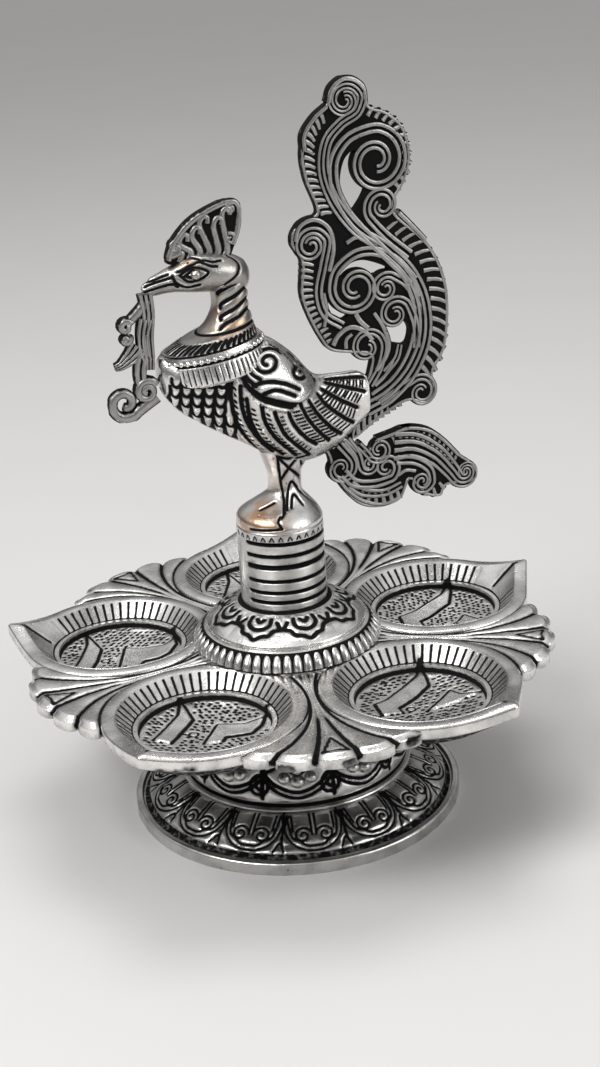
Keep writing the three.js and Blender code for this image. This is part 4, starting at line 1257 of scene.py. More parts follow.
@dataclass
class LotusDome:
    """Low dome: a polished band and a skirt of engraved lotus petals."""

    base: float = DOME_BASE
    top: float = DOME_TOP
    radius: float = 18.3
    petals: int = 8
    groove: Two = (0.95, 0.4)

    def build(self, bench: Bench, finish: Material) -> Object:
        """Dome with its petals."""
        r, low = self.radius, self.base
        wall = Wall([(r, low), (r, low + 0.9), (r - 0.3, low + 1.2), (17, low + 1.9), (15.6, low + 2.9),
                     (14, low + 3.9), (12.4, low + 4.8), (11, low + 5.35), (10.3, self.top), (8, self.top)],
                    self._relief, 0.3)
        back = [(STUD_HOLE, self.top), (STUD_HOLE, self.top - CAST_WALL), (10, self.top - 2.8),
                (15.3, self.base + 0.4), (15.3, self.base)]
        obj = wall.closed(self.petals * 40, back).as_object("dome")
        half = math.pi * 16 / self.petals
        petal = ([(0, 2.6), (1.6, 3.5), (3.2, 3.9), (4, 5.2), (half - 0.5, 5.8), (half - 0.1, 7.4)],
                 [(0, 5.1), (1.5, 5.5), (2.5, 6.6), (2.3, 8.4)], [(0, 7.2), (0.9, 8)])
        lines = [wall.line(spread(line)) for line in petal]
        bench.tools.engrave(obj, lines, *self.groove, finish, copies=self.petals)
        return bench.deliver(obj, "Lotus_dome", ["lotus_dome"], finish)

    def _relief(self, angle: Array, run: Array) -> Pair:
        """Swell of the petals and the dark line above the polished band."""
        crown, valley = ridges(angle * self.petals / TURN + 0.5)
        on = step(run, 1.3, 2.4) * (1 - step(run, 8.4, 9.6))
        return 0.4 * (crown - 0.5) * on, np.where(run > 9.6, 0.8, 0.0) + 0 * valley


@dataclass
class RingedPost:
    """Turned post: bands between dark grooves, plain along one strip."""

    base: float = DOME_TOP
    top: float = POST_TOP
    radius: float = 10.0
    grooves: tuple[float, ...] = (0.12, 0.245, 0.39, 0.57, 0.71, 0.86)
    deep_groove: int = 3
    depth: float = 0.75
    half_width: float = 0.62
    strip: float = 17.0
    notches: int = 30
    groove: Two = (0.3, 0.2)

    def build(self, bench: Bench, finish: Material) -> Object:
        """Post with its grooves and the notches under its top band."""
        r = self.radius
        wall = Wall([(r - 0.4, self.base), (r - 0.2, self.base + 0.3), (r - 0.2, self.top - 0.4),
                     (r - 0.5, self.top)], self._relief, 0.2)
        blind = self.base + 11.6
        back = [(0.3, self.top), (0.3, blind), (STUD_HOLE, blind), (STUD_HOLE, self.base)]
        obj = wall.closed(240, back).as_object("post")
        edge = 0.86 * (self.top - self.base) + 0.9
        notch = [wall.line([(-0.45, edge), (0, edge + 0.8), (0.45, edge)])]
        bench.tools.engrave(obj, notch, *self.groove, finish, copies=self.notches)
        return bench.deliver(obj, "Ringed_post", ["ringed_post"], finish)

    def _relief(self, angle: Array, run: Array) -> Pair:
        """Grooves that end at the plain strip."""
        away = np.abs(np.arctan2(np.sin(angle - math.pi), np.cos(angle - math.pi)))
        cut = step(away, math.radians(self.strip), math.radians(self.strip + 6))
        rise, deep = no_relief(angle, run)
        for i, share in enumerate(self.grooves):
            wide = self.half_width * (1.35 if i == self.deep_groove else 1)
            near = np.clip(1 - np.abs(run - share * (self.top - self.base)) / wide, 0, 1) * cut
            rise = rise - self.depth * step(near, 0, 0.9)
            deep = np.maximum(deep, np.clip(near * 1.7, 0, 1))
        return rise, deep


# The bird


def lofted(sections: Array, ring: Callable[[Array], tuple], columns: int) -> Shell:
    """Closed shell through oval sections.

    Args:
        sections: rows of numbers, one row a section.
        ring: gives a section's centre and its two half axes, as vectors.
        columns: points around.
    """
    angle = angles(columns)
    rows = []
    for section in sections:
        centre, across, up = ring(section)
        rows.append(centre + np.cos(angle)[:, None] * across + np.sin(angle)[:, None] * up)
    points = np.array(rows)
    return grid(points, np.zeros(points.shape[:2]), close_rows=False)


def upright(section: Array) -> tuple[Array, Array, Array]:
    """Upright section across the bird: x, lowest, highest, half width."""
    x, low, high, half = section
    return np.array([x, 0, (low + high) / 2]), np.array([0, half, 0]), np.array([0, 0, (high - low) / 2])


def above_post(points: Points) -> Array:
    """Points of the bird's plane with their heights counted from the post's top."""
    p = np.array(points, float)
    p[:, 1] += POST_TOP
    return p


SEAT = np.array([-13.0, 0, 111.6])
SEAT_TILT = math.radians(8)


def tilted(section: Array) -> tuple[Array, Array, Array]:
    """Section of the collar or neck, parallel to the neck's seat: x, height above it, half axes."""
    x, rise, half_x, half_y = section
    along = np.array([math.cos(SEAT_TILT), 0, math.sin(SEAT_TILT)])
    normal = np.array([-math.sin(SEAT_TILT), 0, math.cos(SEAT_TILT)])
    centre = SEAT + along * (x - SEAT[0]) + normal * rise
    return centre, along * half_x, np.array([0, half_y, 0])


@dataclass
class Flank:
    """Side of a lofted form, which lines drawn in the bird's plane are laid on.

    Attributes:
        sections: x, lowest, highest and half width of upright sections.
        lean: how far a line seen on the side lies from its place in the bird's plane, per width.
    """

    sections: Array
    lean: Two = (-0.364, 0.408)

    def half(self, x: Array, z: Array) -> Array:
        """Half width of the form at places in the bird's plane."""
        s = self.sections[np.argsort(self.sections[:, 0])]
        low, high, wide = (np.interp(x, s[:, 0], s[:, k]) for k in (1, 2, 3))
        t = (z - (low + high) / 2) / ((high - low) / 2)
        return wide * np.sqrt(np.clip(1 - t * t, 0.04, 1))

    def lines(self, drawn: Sequence[Points], rise: float = 0.0, spacing: float = 0.3) -> Lines:
        """Lines laid on both sides.

        Args:
            drawn: lines as they are seen, as x and height.
            rise: how far the surface stands out there.
            spacing: distance between their points.
        """
        laid = []
        for line in drawn:
            seen = smooth(line, spacing)
            x, z = seen[:, 0].copy(), seen[:, 1].copy()
            for _ in range(4):
                w = self.half(x, z) + rise
                x, z = seen[:, 0] + self.lean[0] * w, seen[:, 1] + self.lean[1] * w
            w = self.half(x, z) + rise
            laid += [np.column_stack([x, side * w, z]) for side in (-1, 1)]
        return laid


@dataclass
class Stalk(Flank):
    """Side of an upright round form, given as height, middle and half axes of level sections."""

    def half(self, x: Array, z: Array) -> Array:
        """Half width of the form at places in the bird's plane."""
        s = self.sections
        middle, long, wide = (np.interp(z, s[:, 0], s[:, k]) for k in (1, 2, 3))
        return wide * np.sqrt(np.clip(1 - ((x - middle) / long) ** 2, 0, 1))


def scale_mark(x: float, z: float, size: float) -> Array:
    """Outline of one U-shaped scale of the breast."""
    a = np.linspace(-0.25, math.pi + 0.25, 11)
    return np.column_stack([x - size * 0.95 * np.cos(a), z - size * 1.35 * np.sin(a)])


def hatch(lines: Sequence[Points], count: int, end: float) -> Lines:
    """Short strokes across the bands between neighbouring lines, up to a share of their width."""
    laid = [smooth(line, 0.3) for line in lines]
    strokes = []
    for a, b in zip(laid[:-1], laid[1:]):
        for share in np.linspace(0.12, 0.96, count):
            p, q = a[int(share * (len(a) - 1))], b[int(min(1, share + 0.03) * (len(b) - 1))]
            strokes.append([p + 0.25 * (q - p), p + end * (q - p)])
    return strokes


@dataclass
class Body:
    """Breast with scales, wings with shields and feather lines, rump, and the collar under the neck.

    Attributes:
        half_width: half width at the widest section.
        wing_rise: how far the wings' shields stand out.
        sections: x, lowest, highest and share of the half width; heights start at the post's top.
        shield: outline of a wing's shield, as x and height above the post's top.
    """

    half_width: float = 9.2
    wing_rise: float = 1.0
    sections: Points = (
        (-24.9, 36, 38.4, .18), (-24.3, 33.2, 41, .36), (-21.5, 29.2, 42.4, .68), (-17, 25.6, 43.4, .9),
        (-11, 21.6, 43.8, 1), (-5, 17.8, 43.6, 1), (0, 14.2, 42.2, .95), (5, 12.8, 38.2, .84),
        (10, 13.2, 32.4, .64), (15, 15.2, 31.6, .44), (20, 18.8, 31.4, .3), (22.4, 20.4, 30, .22))
    shield: Points = (
        (-9.6, 38.2), (-6.4, 42), (-0.6, 41.8), (3.4, 38), (7.4, 33), (7.6, 30), (4, 28.2), (0, 27.2),
        (-5, 29.6), (-8.6, 33.6))

    def build(self, bench: Bench, finish: Material) -> Object:
        """Body with its chasing."""
        rows = np.array(self.sections, float)
        rows[:, 1:3] += POST_TOP
        rows[:, 3] *= self.half_width
        rows = smooth(rows, 0.36)
        shell = lofted(rows, upright, 260)
        edge = smooth(above_post(self.shield), 0.5, closed=True)
        flat = shell.points[:, [0, 2]]
        away = np.min(np.linalg.norm(flat[:, None] - edge[None, ::2], axis=2), axis=1)
        rise = self.wing_rise * inside(flat, edge) * step(away, 0, 0.7)
        shell.points[:, 1] += np.sign(shell.points[:, 1]) * rise * (np.abs(shell.points[:, 1]) > 2)
        obj = shell.as_object("body")
        side = Flank(rows)
        feathers = self._feathers()
        ticks = [*hatch(feathers[5:12], 11, 0.76), *hatch(feathers[:6], 12, 0.45)]
        shield = side.lines(self._shield_lines(), self.wing_rise)
        # Lines, half width and depth of their groove; the shields' outlines are cut twice
        for lines, width, depth in (
            (side.lines(feathers), 0.85, 0.45), (side.lines(ticks), 0.42, 0.18), (shield, 0.85, 0.45),
            (shield[:2], 1.3, 0.5), (side.lines(self._scales()), 0.74, 0.4),
        ):
            bench.tools.engrave(obj, lines, width, depth, finish)
        collar = self._collar().as_object("collar")
        centre, along, across = tilted(np.array([-12.8, -1.1, 11.3, self.half_width - 0.4]))
        around = np.linspace(0, TURN, 200)[:, None]
        path = centre + np.cos(around) * along + np.sin(around) * across
        bench.tools.set_row(collar, path, bead((0, 0, 0), 0.62, 0.9, 8), 44, finish, Pivot.UPRIGHT)
        whole = joined([obj, collar])
        self._cut_seat(whole)
        return bench.deliver(whole, "Body", ["body"], finish)

    @staticmethod
    def _cut_seat(obj: Object) -> None:
        """Cuts everything above the neck's seat and closes the cut."""
        work = bmesh.new()
        work.from_mesh(obj.data)
        normal = Vector((-math.sin(SEAT_TILT), 0, math.cos(SEAT_TILT)))
        bmesh.ops.bisect_plane(work, geom=work.verts[:] + work.edges[:] + work.faces[:],
                               plane_co=Vector(SEAT), plane_no=normal, clear_outer=True)
        bmesh.ops.holes_fill(work, edges=[e for e in work.edges if e.is_boundary])
        work.to_mesh(obj.data)
        work.free()

    def _collar(self) -> Shell:
        """Fluted collar, with a smooth band over it."""
        columns, wide = 330, self.half_width
        sections = smooth([(-12.6, -6.6, 11.5, wide), (-12.6, -5.4, 12, wide + 0.5),
                           (-12.8, -1.4, 11.6, wide - 0.2), (-12.8, 0.4, 11, wide - 0.8)], 0.3)
        shell = lofted(sections, tilted, columns)
        rows = len(shell.points) // columns
        crown, valley = ridges(np.arange(columns) / 5.5)
        points = shell.points.reshape(rows, columns, 3)
        middle = points.mean(1, keepdims=True)
        share = np.linspace(0, 1, rows)[:, None]
        on = step(share, 0.1, 0.2) * (1 - step(share, 0.55, 0.65))
        groove = np.exp(-((share - 0.68) / 0.035) ** 2)
        points = middle + (points - middle) * (1 - 0.03 * on * (1 - crown) - 0.035 * groove)[..., None]
        deep = np.maximum(on * np.clip(valley * 1.6 - 0.5, 0, 1), np.clip(1.6 * groove, 0, 1) + 0 * crown)
        return Shell(points.reshape(-1, 3), shell.faces, deep.ravel())

    @staticmethod
    def _feathers() -> list[Points]:
        """Long feather lines from the shield and breast down to the belly and rump."""
        return [
            [(-7.9, 103), (-8.4, 98), (-8, 93), (-6, 88.6), (-3.5, 85.5)],
            [(-6.2, 100), (-6.2, 96), (-5.4, 92), (-3, 87.5), (-0.5, 84.6)],
            [(-5, 97), (-4.5, 92), (-2.5, 87.5), (2, 83.5)], [(-1.8, 95), (-1.2, 91), (1, 87), (5, 82.8)],
            [(1, 93), (2, 90), (3.5, 87), (8, 82.5)], [(4, 93.5), (5, 90), (7.5, 86.5), (10, 84.5)],
            [(7, 94), (8.5, 90.5), (11, 87), (13, 85)], [(9, 94.5), (11, 91), (14, 87.5), (16, 86)],
            [(11, 96), (13, 93), (17, 89.5), (19, 88.2)], [(12, 97), (16, 94), (20, 91.5)],
            [(13, 98.5), (18, 96.5), (22, 95)], [(13, 99.5), (18, 99), (22, 98.5)],
            [(-23, 100), (-20, 96), (-16, 92), (-10, 89), (-6, 86.5), (-1, 84), (4, 82.3), (8, 82.3)],
        ]

    @staticmethod
    def _shield_lines() -> list[Points]:
        """Outline, spirals, crescents and leaf of a wing's shield."""
        outline = [(-6.5, 108), (-6, 103), (-4.5, 99.5), (-1.5, 96.5), (3, 94.5), (7, 93.5), (9.5, 95),
                   (11, 98), (10.5, 100.5), (8, 103.5), (5, 107), (1, 110.5), (-4, 111), (-6.5, 108)]
        return [
            outline, curl((0.2, 104.6), 3.5, 0.6, 1.6), curl((7.6, 101.2), 2.3, 0.4, 1.3),
            [(-3.5, 109.5), (-4.4, 106), (-3.6, 102.6), (-1.6, 100.8)],
            [(-5, 109), (-5.6, 105.5), (-4.8, 102), (-2.6, 99.4)],
            [(-3.2, 99.6), (0, 100), (4, 99), (7, 97.4)], [(-1, 97.4), (2, 97.8), (6, 96)],
            [(3.6, 107), (5.6, 104.6), (6.4, 102.2)], [(1, 108.9), (3, 107.6)],
        ]

    @staticmethod
    def _scales() -> Lines:
        """Staggered rows of scales over the breast."""
        breast = np.array([(-24, 104), (-20, 105.6), (-15, 104.2), (-9.4, 103.4), (-9.4, 97), (-8.6, 92),
                           (-7.4, 89), (-11, 88.6), (-15, 90), (-18.5, 93), (-22.5, 97.5)])
        i, j = (numbers.ravel() for numbers in np.meshgrid(np.arange(-3, 9), np.arange(-1, 9)))
        odd = j % 2
        spots = np.column_stack([-23 + 2.6 * i + 0.9 * j + 1.3 * odd, 104.6 - 0.5 * i - 2.3 * j - 0.25 * odd])
        return [scale_mark(x, z, 1.34) for x, z in spots[inside(spots, breast)]]


def joined(objects: Sequence[Object]) -> Object:
    """Several objects as one, the first."""
    with bpy.context.temp_override(active_object=objects[0], selected_editable_objects=list(objects)):
        bpy.ops.object.join()
    return objects[0]


@dataclass
class NeckAndHead:
    """Neck on its seat, and the head with beak, eye and brow.

    Attributes:
        skull: x, lowest, highest and half width of the head; heights start at the post's top.
        neck: x, height above the seat and both half axes of the neck's sections.
        neck_levels: height, middle and both half axes of the neck as level sections.
    """

    skull: Points = (
        (-3.4, 54.6, 58.4, 1.6), (-4.6, 53.4, 60, 3.2), (-8, 53.6, 61.6, 4.6), (-12.5, 53.8, 62.4, 5),
        (-16.5, 54.2, 62, 4.4), (-19.6, 54.6, 60.4, 3), (-22, 54.6, 59.4, 2.2), (-24.8, 54.4, 58.2, 1.6),
        (-26.6, 55.2, 56.8, .7))
    neck: Points = ((-12.8, .3, 10.6, 8), (-11.6, 1.4, 9.2, 7.4), (-8.6, 3.2, 6, 5.6), (-7.2, 6, 4.4, 4.4),
                    (-6.4, 9, 4, 4), (-6.4, 14, 4.2, 4))
    neck_levels: Points = (
        (112, -12.8, 10.6, 8), (113, -11.8, 9.2, 7.4), (115, -9, 6, 5.6), (117.6, -8, 4.4, 4.4),
        (120.6, -7.6, 4, 4), (125.5, -8.3, 4.2, 4))
    face_groove: Two = (0.6, 0.35)
    wrap_groove: Two = (0.8, 0.4)
    foot_groove: Two = (0.7, 0.35)

    def build(self, bench: Bench, finish: Material) -> Object:
        """Head and neck with their chasing."""
        rows = np.array(self.skull, float)
        rows[:, 1:3] += POST_TOP
        rows = smooth(rows, 0.28)
        head = lofted(rows, upright, 150).as_object("head")
        side = Flank(rows)
        bench.tools.engrave(head, side.lines(self._face()), *self.face_groove, finish)
        neck_rows = smooth(self.neck, 0.3)
        neck = lofted(neck_rows, tilted, 150).as_object("neck")
        on_neck = Stalk(np.array(self.neck_levels))
        wraps = [[(-2.2, z), (-3.2, z - 2.4), (-6, z - 5), (-10.4, z - 6.4)]
                 for z in (128, 125.4, 122.8, 120.6)]
        bench.tools.engrave(neck, on_neck.lines(wraps), *self.wrap_groove, finish)
        turn = np.linspace(0, TURN, 45)[:-1]
        foot = [np.array([self._on_neck(neck_rows, a, rise) for rise in (0.5, 1.1, 1.8)]) for a in turn]
        ring = np.array([self._on_neck(neck_rows, a, 2.9) for a in np.linspace(0, TURN, 90)])
        bench.tools.engrave(neck, [*foot, ring], *self.foot_groove, finish)
        eyes = bead((-15.9, -4.35, 127.6), 1.15, 0.9, 14) + bead((-15.9, 4.35, 127.6), 1.15, 0.9, 14)
        whole = joined([head, neck, eyes.as_object("eyes")])
        return bench.deliver(whole, "Neck_and_head", ["neck_and_head"], finish)

    @staticmethod
    def _on_neck(rows: Array, angle: float, rise: float) -> Array:
        """Point of the neck's surface at an angle about it and a height above its seat."""
        section = np.array([np.interp(rise, rows[:, 1], rows[:, k]) for k in range(4)])
        centre, along, across = tilted(section)
        return centre + math.cos(angle) * along + math.sin(angle) * across

    @staticmethod
    def _face() -> list[Points]:
        """Brow, eye, cheek and beak lines."""
        return [
            [(-19, 128), (-17, 129), (-15, 129.4), (-13, 128.5), (-11, 127.3), (-9.5, 127)],
            [(-18, 126.4), (-16, 127.4), (-14, 127.4), (-11.5, 126), (-13, 124.8), (-16, 124.6),
             (-18, 126.4)],
            [(-16.8, 126), (-15, 126.8), (-13.4, 126), (-15, 125.3), (-16.8, 126)],
            [(-20, 129.2), (-17.4, 130.2), (-15, 130.4), (-12.6, 129.2), (-10.6, 128.3), (-8.8, 128.4)],
            [(-19.6, 126.6), (-18.8, 124.9), (-16.6, 123.6), (-13.6, 123.6)], [(-25.4, 126.6), (-21, 127.6)],
            [(-8.5, 130.5), (-5.5, 128), (-4.8, 126.5), (-5.5, 124.5), (-8, 123), (-11, 122.2)],
            [(-26, 125.6), (-20, 126.3)], [(-26, 124.2), (-20, 124.8), (-18.6, 124)],
        ]


@dataclass
class Crest:
    """Upright crest: a flat leaf with flutes and a curled, bright rim."""

    thickness: float = 3.0
    outline: Points = ((-21, 61), (-19.4, 64.6), (-15.4, 68.8), (-10.4, 71.4), (-6, 72.6), (-4.2, 71.2),
                       (-4.6, 66.6), (-6.2, 62.6), (-8.4, 59.6), (-14, 60))

    def build(self, bench: Bench, finish: Material) -> Object:
        """Crest with its flutes and curls."""
        edge = smooth(above_post(self.outline), 0.4, closed=True)
        ground = plate("ground", edge, [], self.thickness - 1.0)
        parts = [Ribbon((1.9, 1.3), (1.35, 1.5), cut=0.5).flat(smooth(line, 0.3)) for line in self._flutes()]
        parts += [Ribbon((1.1, 0.8), (1.5, 1.4), cut=0.3).flat(line) for line in self._curls()]
        rim = above_post([(-20.6, 61.6), (-19, 65.2), (-15.2, 68.9), (-10.4, 71.2), (-6.2, 72.2),
                          (-4.6, 70.8), (-5, 66.6), (-6.4, 63.2)])
        parts.append(Ribbon((1.5, 1.3), (1.5, 1.5), cut=0.3).flat(smooth(rim, 0.4)))
        whole = joined([ground, total(parts).as_object("flutes")])
        return bench.deliver(whole, "Crest", ["crest"], finish)

    @staticmethod
    def _flutes() -> list[Points]:
        """Flutes from the skull up to the rim."""
        feet = (-18.2, -16.2, -14.2, -12.2, -10.2, -8.2)
        tips = ((-19.2, 133.2), (-17.2, 135.4), (-14.4, 136.6), (-12.6, 138.6), (-9.6, 138), (-7.6, 139.8))
        return [[(foot, 130), (foot + 0.6, 131.8), (x - 0.7, z - 1.8), (x, z), (x + 1.1, z - 0.1),
                 (x + 1, z - 1.3)] for foot, (x, z) in zip(feet, tips)]

    @staticmethod
    def _curls() -> Lines:
        """Small curls where the rim rolls in."""
        return [curl((-18.9, 133.2), 1.3, 1, 1.1), curl((-6.8, 133.4), 1.3, 2, -1.1),
                curl((-6.3, 139.8), 1.2, 1, 1.2)]


@dataclass
class Vine:
    """Vine from the beak to the breast: an arm with a curl, a ribbed leaf and bud, a ring and a scroll.

    Attributes:
        thickness: thickness across the bird.
        bands: line, widths, share of the height at both ends and ridges of each band.
        curls: centre, radius and turns of each curl.
    """

    thickness: float = 3.2
    bands: Sequence[tuple] = (
        (((-26.2, 124.2), (-25.9, 120), (-26.4, 115), (-26.4, 110.4), (-26.6, 108)), (3.2, 2.0),
         0.95, 0.8, 3),
        (((-26.6, 119), (-27.4, 116), (-27.6, 113), (-27, 110)), (3.2, 2.2), 1, 0.85, 3),
        (((-28.6, 113.2), (-30.4, 111.4), (-32.6, 109.8), (-34, 109.4)), (4.8, 1.6), 0.9, 0.6, 4),
        (((-27.4, 112.6), (-28.6, 109), (-28.8, 106), (-28, 104.4)), (3.0, 2.8), 0.8, 0.8, 2),
        (((-25.6, 122.8), (-27.4, 121), (-29.4, 119.4), (-30.6, 118.4)), (2.6, 2.0), 0.75, 0.75, 1))
    curls: Sequence[tuple] = (((-31, 117.8), 1.4, 1.1), ((-31.2, 115.2), 0.9, -1), ((-27.7, 103.4), 2.5, 1.6))

    def build(self, bench: Bench, finish: Material) -> Object:
        """Vine made of bands and curls."""
        half = self.thickness / 2
        parts = [Ribbon(widths, (half * high, half * low), ridges=count, cut=0.4).flat(smooth(line, 0.4))
                 for line, widths, high, low, count in self.bands]
        scroll = spiral([(-25.6, 101.8), (-29.6, 99.4)], (-32.7, 101.4), -1.2)
        parts.append(Ribbon((2.8, 1.9), (half * 0.9, half * 0.7), cut=0.5).flat(scroll))
        loop = Ribbon((1.9, 1.5), (half, half), cut=0.4)
        parts += [loop.flat(curl(centre, radius, 0.5, turns)) for centre, radius, turns in self.curls]
        obj = total(parts).as_object("vine")
        return bench.deliver(obj, "Vine", ["vine"], finish)


@dataclass
class Plume:
    """Pierced scrollwork: a black ground, bands that wind into scrolls, and roped borders.

    Attributes:
        name: name of the piece.
        node: solid that it stands for.
        outline: outline of the ground.
        holes: openings in the ground.
        scrolls: stem, centre, turns, widths and ridges of each band.
        leaves: line, widths and ridges of each band that doesn't wind.
        borders: path, length, count and sizes of each row of barbs.
        ground: thickness of the ground.
        height: how far the bands stand from the mid-plane.
        rim_inset: how far the rim's line lies inside the outline.
    """

    name: str
    node: str
    outline: Points
    holes: Sequence[Points]
    scrolls: Sequence[tuple]
    leaves: Sequence[tuple]
    borders: Sequence[tuple]
    ground: float = 2.0
    height: float = 1.68
    rim_inset: float = 0.35

    def build(self, bench: Bench, finish: Material) -> Object:
        """Plume with its scrolls and borders."""
        edge = smooth(above_post(self.outline), 0.5, closed=True)
        holes = [smooth(above_post(hole), 0.4, closed=True) for hole in self.holes]
        ground = plate("ground", edge, holes, self.ground)
        parts = []
        style = {"cut": 0.5, "shade": 2.5, "steps": 8}
        for i, (stem, centre, turns, widths, count) in enumerate(self.scrolls):
            line = spiral(above_post(stem), above_post([centre])[0], turns)
            tall = self.height - 0.02 * i
            parts.append(Ribbon(widths, (tall, tall * 0.86), ridges=count, **style).flat(line))
        for line, widths, count in self.leaves:
            band = Ribbon(widths, (self.height * 0.9, self.height * 0.82), ridges=count, **style)
            parts.append(band.flat(smooth(above_post(line), 0.4)))
        along = np.gradient(edge, axis=0)
        inward = np.column_stack([-along[:, 1], along[:, 0]]) / np.linalg.norm(along, axis=1, keepdims=True)
        side = self.rim_inset * np.sign(np.sum(inward * (edge.mean(0) - edge)))
        rim = Ribbon((0.85, 0.85), (self.height * 0.74, self.height * 0.74), cut=0.4)
        parts.append(rim.flat(edge + side * inward))
        obj = joined([ground, total(parts).as_object("bands")])
        for path, length, lean, count, sizes in self.borders:
            line = smooth([(0, -length / 2), (lean * 0.35, 0), (lean, length / 2)], length / 7)
            barb = Ribbon((2.0, 1.2), (self.height * 0.86, self.height * 0.7), **style).flat(line)
            way = in_plane(smooth(above_post(path), 0.5))
            bench.tools.set_row(obj, way, barb, count, finish, Pivot.SIDEWAYS, sizes)
        return bench.deliver(obj, self.name, [self.node], finish)


TAIL = Plume(
    "Tail_plume", "tail_plume",
    outline=(
        (18, 16), (24.6, 19.6), (31.6, 22.6), (36, 21.4), (38.8, 24), (38.2, 28.2), (41.2, 33.4), (42.4, 41),
        (42.2, 47.4), (40.6, 53.2), (37.2, 58.8), (31, 64.8), (30.6, 68), (33, 71.6), (34.6, 77), (33.4, 83),
        (29.6, 86.8), (25.6, 88.6), (24.8, 93.2), (21, 95), (17.6, 92.8), (16, 89.6), (12.4, 86.4), (10, 81),
        (10.4, 75), (12.6, 68.6), (12, 66.8), (7.6, 64.8), (6.5, 61.4), (8.6, 57.2), (8, 51), (9, 46.4),
        (11.6, 40.4), (14.2, 37), (19.4, 35.6), (23.2, 34.6), (23.2, 31.6), (20.6, 24)),
    holes=(
        ((22.2, 79.6), (19.6, 78), (18.3, 73.6), (18.8, 69.4), (20.4, 67.2), (21.8, 67.6), (24.2, 71.8),
         (21.9, 75.6)),
        ((17.3, 52.9), (18.4, 55), (22.4, 56), (27.6, 54), (28.2, 53), (24, 52.4), (21, 53.6)),
        ((13.6, 49.8), (16.4, 47.8), (19.1, 45.6), (17.8, 43.6), (15, 44.8)),
        ((27.4, 40.4), (30.8, 41.5), (32.9, 39.4), (31.8, 35.9), (28, 37.2))),
    scrolls=(
        (((21.6, 22.4), (27.5, 24.8), (33, 29.8), (36.3, 36.8), (36.3, 44.8), (33.5, 51.8), (28, 57.8),
          (21.5, 62.8), (16.8, 69.3), (14.7, 75.8), (15.6, 81.8), (19, 85.4), (22.8, 87.4), (24.1, 90.3)),
         (20.2, 90.1), 1.25, (4.2, 2.4), 3),
        (((34.6, 46), (32.4, 51.6), (27, 57.6), (21.6, 63.6), (18.6, 68), (16.9, 72.8), (17.2, 78.3),
          (20.6, 82.3), (26, 83.8)), (26.6, 76.8), -1.5, (3.4, 2.4), 2),
        (((33.5, 55.8), (28.5, 60.3), (25, 64.3)), (27.6, 67.2), -1.25, (2.9, 1.9), 2),
        (((17, 42.3), (13.2, 45.3), (12, 50.3), (13.3, 55.8), (14.6, 60.8)), (10.9, 60.6), 1.4,
         (2.5, 2.1), 2),
        (((34.2, 50), (30.5, 54.6), (26, 57.4), (21, 57.6), (16.6, 54.8), (15.2, 51.3)), (20.6, 50.1), 1.35,
         (3.0, 2.2), 2),
        (((35, 43.8), (33, 48.8), (29.8, 51.4)), (27.6, 49.1), 1.25, (2.5, 1.8), 2),
        (((34.3, 34.8), (34.4, 39.8), (33, 44.3)), (29.5, 43.1), 1.25, (2.5, 1.7), 2),
        (((22.8, 27.8), (25.2, 31.3), (26.4, 34.8)), (22.6, 36.6), 1.25, (2.2, 1.8), 2),
        (((25, 23.3), (29, 25.4), (33, 27.3)), (35.2, 24.3), -1.25, (2.5, 1.8), 2)),
    leaves=(
        (((23.5, 25), (28.6, 28), (32.6, 33), (34.6, 39), (34.8, 45), (32.6, 51)), (3.0, 2.3), 2),
        (((24.5, 31), (27, 34), (27.7, 37), (26.6, 40.6), (24.6, 44)), (2.0, 1.4), 1),
        (((23, 40.9), (21.3, 42.6), (20.3, 44.4)), (1.8, 2.0), 1),
        (((26.6, 30.2), (29.4, 33), (30.4, 36)), (2.1, 1.7), 2),
        (((24, 27.6), (26.6, 29.6), (28.6, 32.6)), (1.7, 1.3), 1),
        (((14.6, 38.2), (16.2, 40.4), (19, 41.6), (22, 40.4), (24, 38)), (2.0, 1.6), 1),
        (((17.6, 37), (17.8, 39), (19.2, 40)), (1.5, 1.3), 1),
        (((19, 60.2), (21, 61.1), (23, 60.7), (26, 58.8)), (1.5, 1.4), 1),
        (((12.8, 42.6), (13.6, 46), (13.2, 50)), (1.5, 1.3), 1),
        (((7.4, 62), (8.6, 65), (12, 66.1), (15.2, 63.8), (16, 59.6), (14.8, 54.6)), (1.5, 1.7), 1),
        (((10.7, 80.6), (10.9, 84), (13.4, 87.2), (16.2, 89.2)), (1.5, 1.4), 1),
        (((16.6, 90), (17.8, 93), (21, 94.6), (24.4, 92.6), (25, 89)), (1.7, 1.4), 1),
        (((31.4, 65.2), (34.4, 62), (37.4, 58.6)), (1.7, 1.4), 1)),
    borders=(
        (((29.8, 63.4), (33.4, 60.4), (36.6, 56.4), (39, 51.6), (40.2, 46), (40.2, 39.6), (39.2, 34),
          (37, 29.6)), 4.6, 2.4, 17, (0.8, 1.0)),
        (((10, 57), (9.6, 51.6), (10.6, 46.8), (12.8, 42.6), (14.4, 39.6)), 3.0, 0.6, 14, (0.9, 0.8)),
        (((15.4, 87.4), (12.8, 84.4), (11.8, 80.6), (12, 75.6), (13.4, 70.6), (14.6, 67.6)), 2.6, 1.2, 15,
         (0.9, 0.9)),
        (((25.6, 87.4), (29, 86), (32, 83.6), (33.7, 79), (33.6, 74.6), (31.6, 71.2)), 2.4, 1.0, 12,
         (0.9, 0.9)),
        (((19, 18.4), (23.6, 20.4), (29.6, 22.6)), 3.0, 1.6, 8, (1.0, 0.7))))

